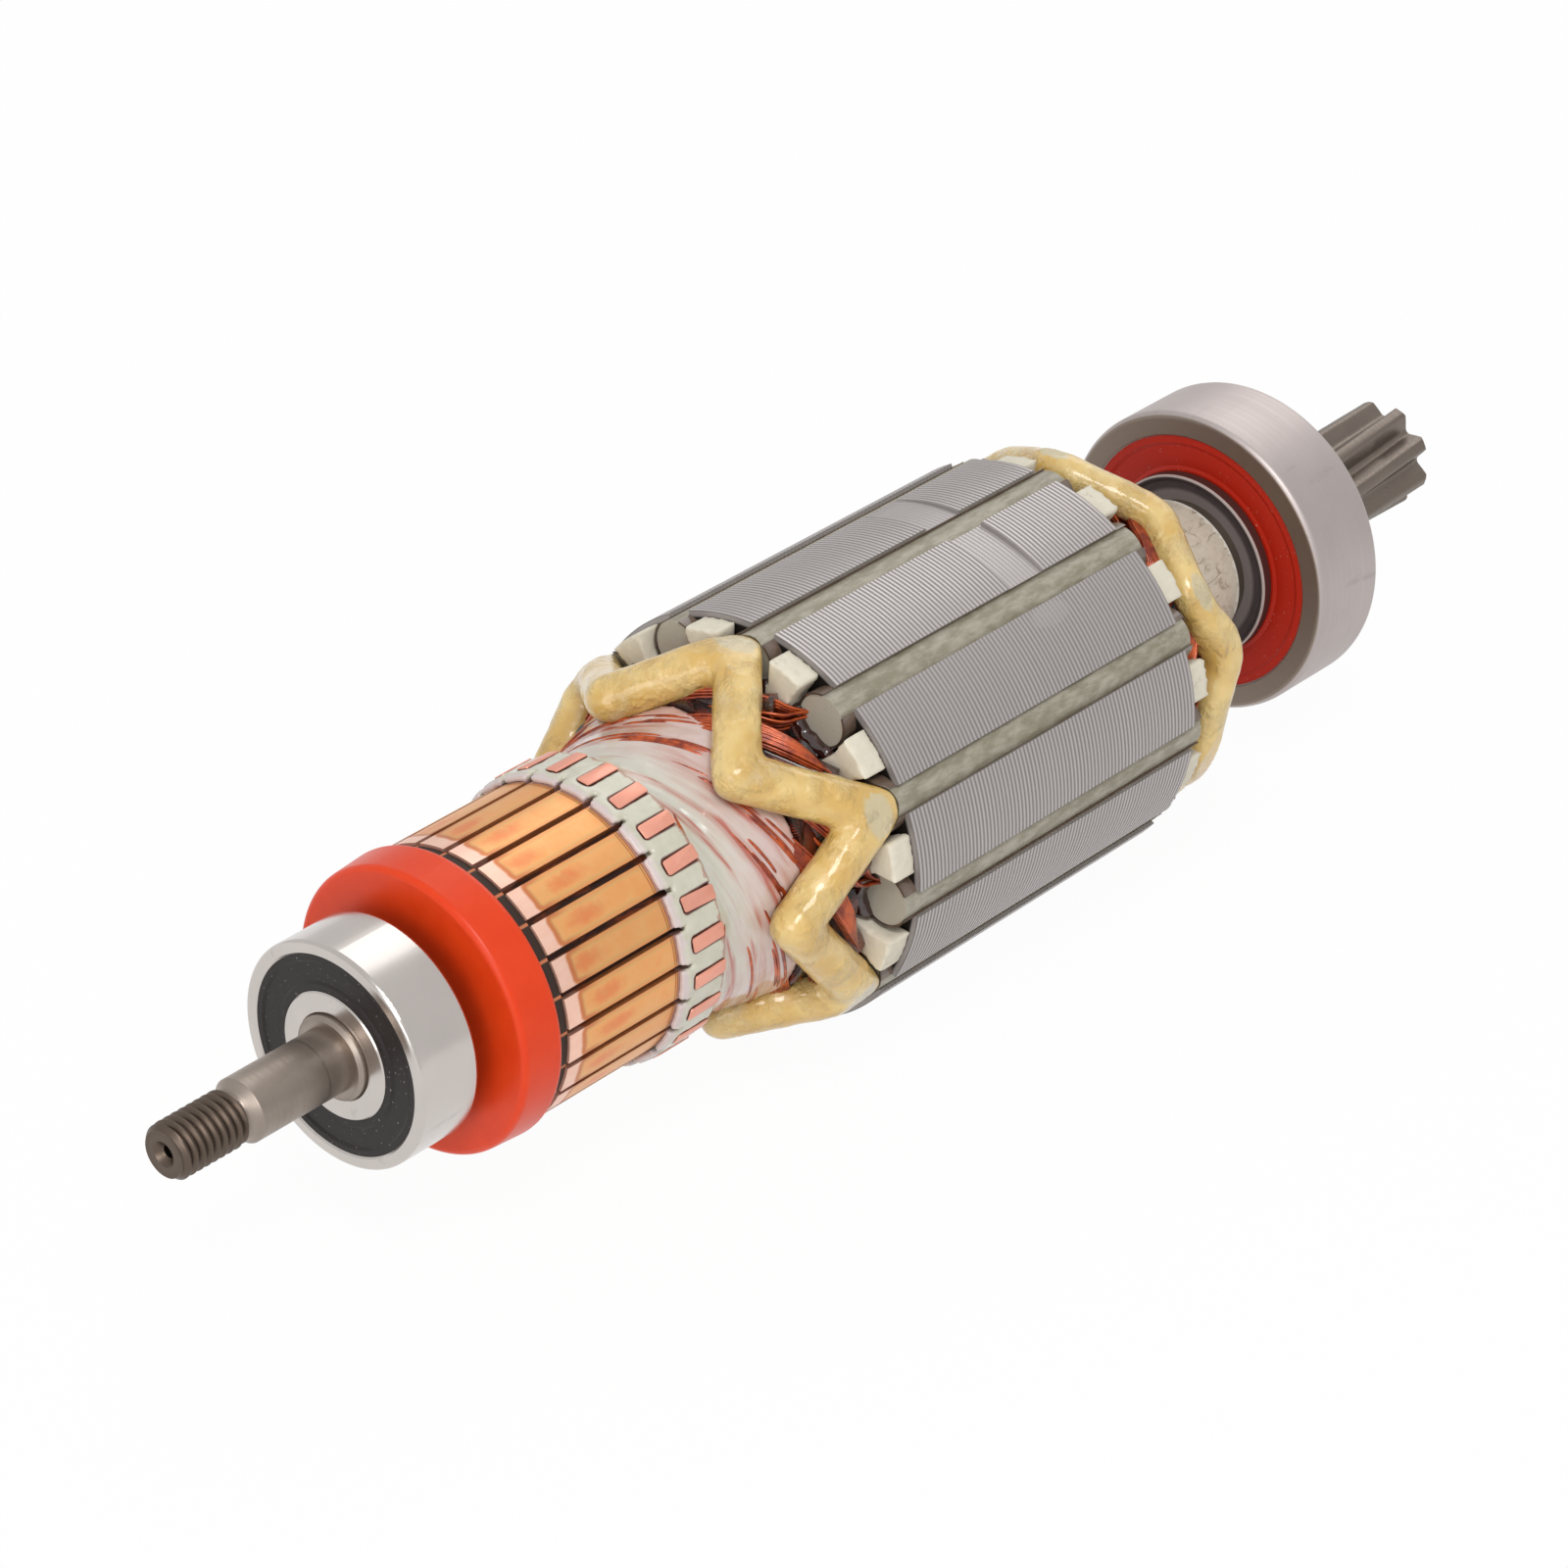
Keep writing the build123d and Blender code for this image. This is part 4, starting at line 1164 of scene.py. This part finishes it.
def headTurn(k, n):
    stray = scatter(k + 71, n)
    lowest = headLook["lowest"] * (1 + scatter(k + 91, n))
    run = []
    for point in range(headLook["points"]):
        share = point / (headLook["points"] - 1)
        rise = math.sin(math.pi * share) ** 0.8
        slope = (headLook["steepest"] - headLook["apart"] * n + 1.2 * stray) * rise - 4
        angle = 360 / slots * k - 5 - 0.5 * n * (1 - 2 * share) - headLook["span"] * share + 0.8 * stray
        run.append(onHead(slope, angle, lowest + headLook["lift"] * (1 - share)))
    return run


wirePiece("rearHeadTurns", [headTurn(k, n) for k in range(slots) for n in range(headLook["wires"])])

# leads that come up through the resin's skin and go under again, and hoops of wire beside the risers
leadLook = {
    "perSlot": 7,
    "points": 10,
    "start": 9.6,
    "startStray": 2.4,
    "thirdFurther": 2.5,
    "length": 4.5,
    "lengthStray": 3.2,
    "depth": 0.02,
    "depthStray": 0.16,
    "apart": 1.6,
    "hoops": 7,
    "hoopOut": 24.3,
    "hoopSpan": 44,
}
resinSkin = skinOf(resinMesh)


def onResin(out, angle, depth):
    inward = around(0, 1, angle) * -1
    place = resinSkin.ray_cast(around(-endFace - out, 40, angle), inward.normalized())[0]
    return around(-endFace - out, (awayOf(place) if place else 19.0) - depth, angle)


leadShares = [n / (leadLook["points"] - 1) for n in range(leadLook["points"])]
leadRuns = []
for k in range(slots):
    for n in range(leadLook["perSlot"]):
        start = leadLook["start"] + leadLook["startStray"] * scatter(k + 3, n)
        start += leadLook["thirdFurther"] if n % 3 == 0 else 0
        length = leadLook["length"] + leadLook["lengthStray"] * scatter(k + 21, n)
        lowest = leadLook["depth"] + leadLook["depthStray"] * scatter(k + 37, n)
        first = 360 / slots * k + windingLook["first"] - leadLook["apart"] * n + 1.2 * scatter(k + 49, n)
        run = []
        for share in leadShares:
            out = start + length * share
            run.append(onResin(out, first - sweepOf(out), lowest + 0.5 * (2 * share - 1) ** 4))
        leadRuns.append(run)
for k in range(leadLook["hoops"]):
    last = 360 / leadLook["hoops"] * k + 16 + 8 * scatter(k, 2)
    run = []
    for share in leadShares:
        out = leadLook["hoopOut"] - 2.2 * share ** 2
        run.append(onResin(out, last - leadLook["hoopSpan"] * share, 0.35 * (2 * share - 1) ** 6 - 0.04))
    leadRuns.append(run)
leadPiece = wirePiece("leadWires", leadRuns)
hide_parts("winding_leads")

# varnish that ran together round the ends of the wedges and between the wires
poolLook = {"drops": 11, "apart": 1.7, "away": 21.6, "bow": 1.9, "size": 1.25, "voxel": 0.35, "rounds": 8}
varnishDrop, tree, shader = newFinish("varnishDrop", Roughness=0.1, Coat_Weight=1.0, Coat_Roughness=0.02)
at = onShaft(tree)
paint(tree, shader, blendColour(tree, speckle(tree, at["place"], 0.6), rgb(18, 8, 7), rgb(66, 24, 16)))


def varnishPools(name, outward, seed):
    form = bmesh.new()
    middle = poolLook["drops"] // 2
    for k in range(slots):
        for n in range(poolLook["drops"]):
            angle = 360 / slots * k + poolLook["apart"] * (n - middle) + 0.6 * scatter(seed + k, n)
            bow = poolLook["bow"] * ((n - middle) / middle) ** 2
            away = poolLook["away"] + bow + 0.5 * scatter(seed + k + 9, n)
            size = poolLook["size"] + 0.35 * scatter(seed + k + 19, n)
            place = around(outward * (endFace - 1.5 + 0.5 * scatter(seed + k + 29, n)), away, angle)
            drop = Matrix.Translation(place)
            bmesh.ops.create_icosphere(form, subdivisions=2, radius=size * mm, matrix=drop)
    mesh = softened(name, finishForm(name + "Drops", form), poolLook["voxel"], poolLook["rounds"])
    addPiece(name, mesh, varnishDrop)


varnishPools("frontVarnish", -1, 2)
varnishPools("rearVarnish", 1, 5)
print("wires are laid")
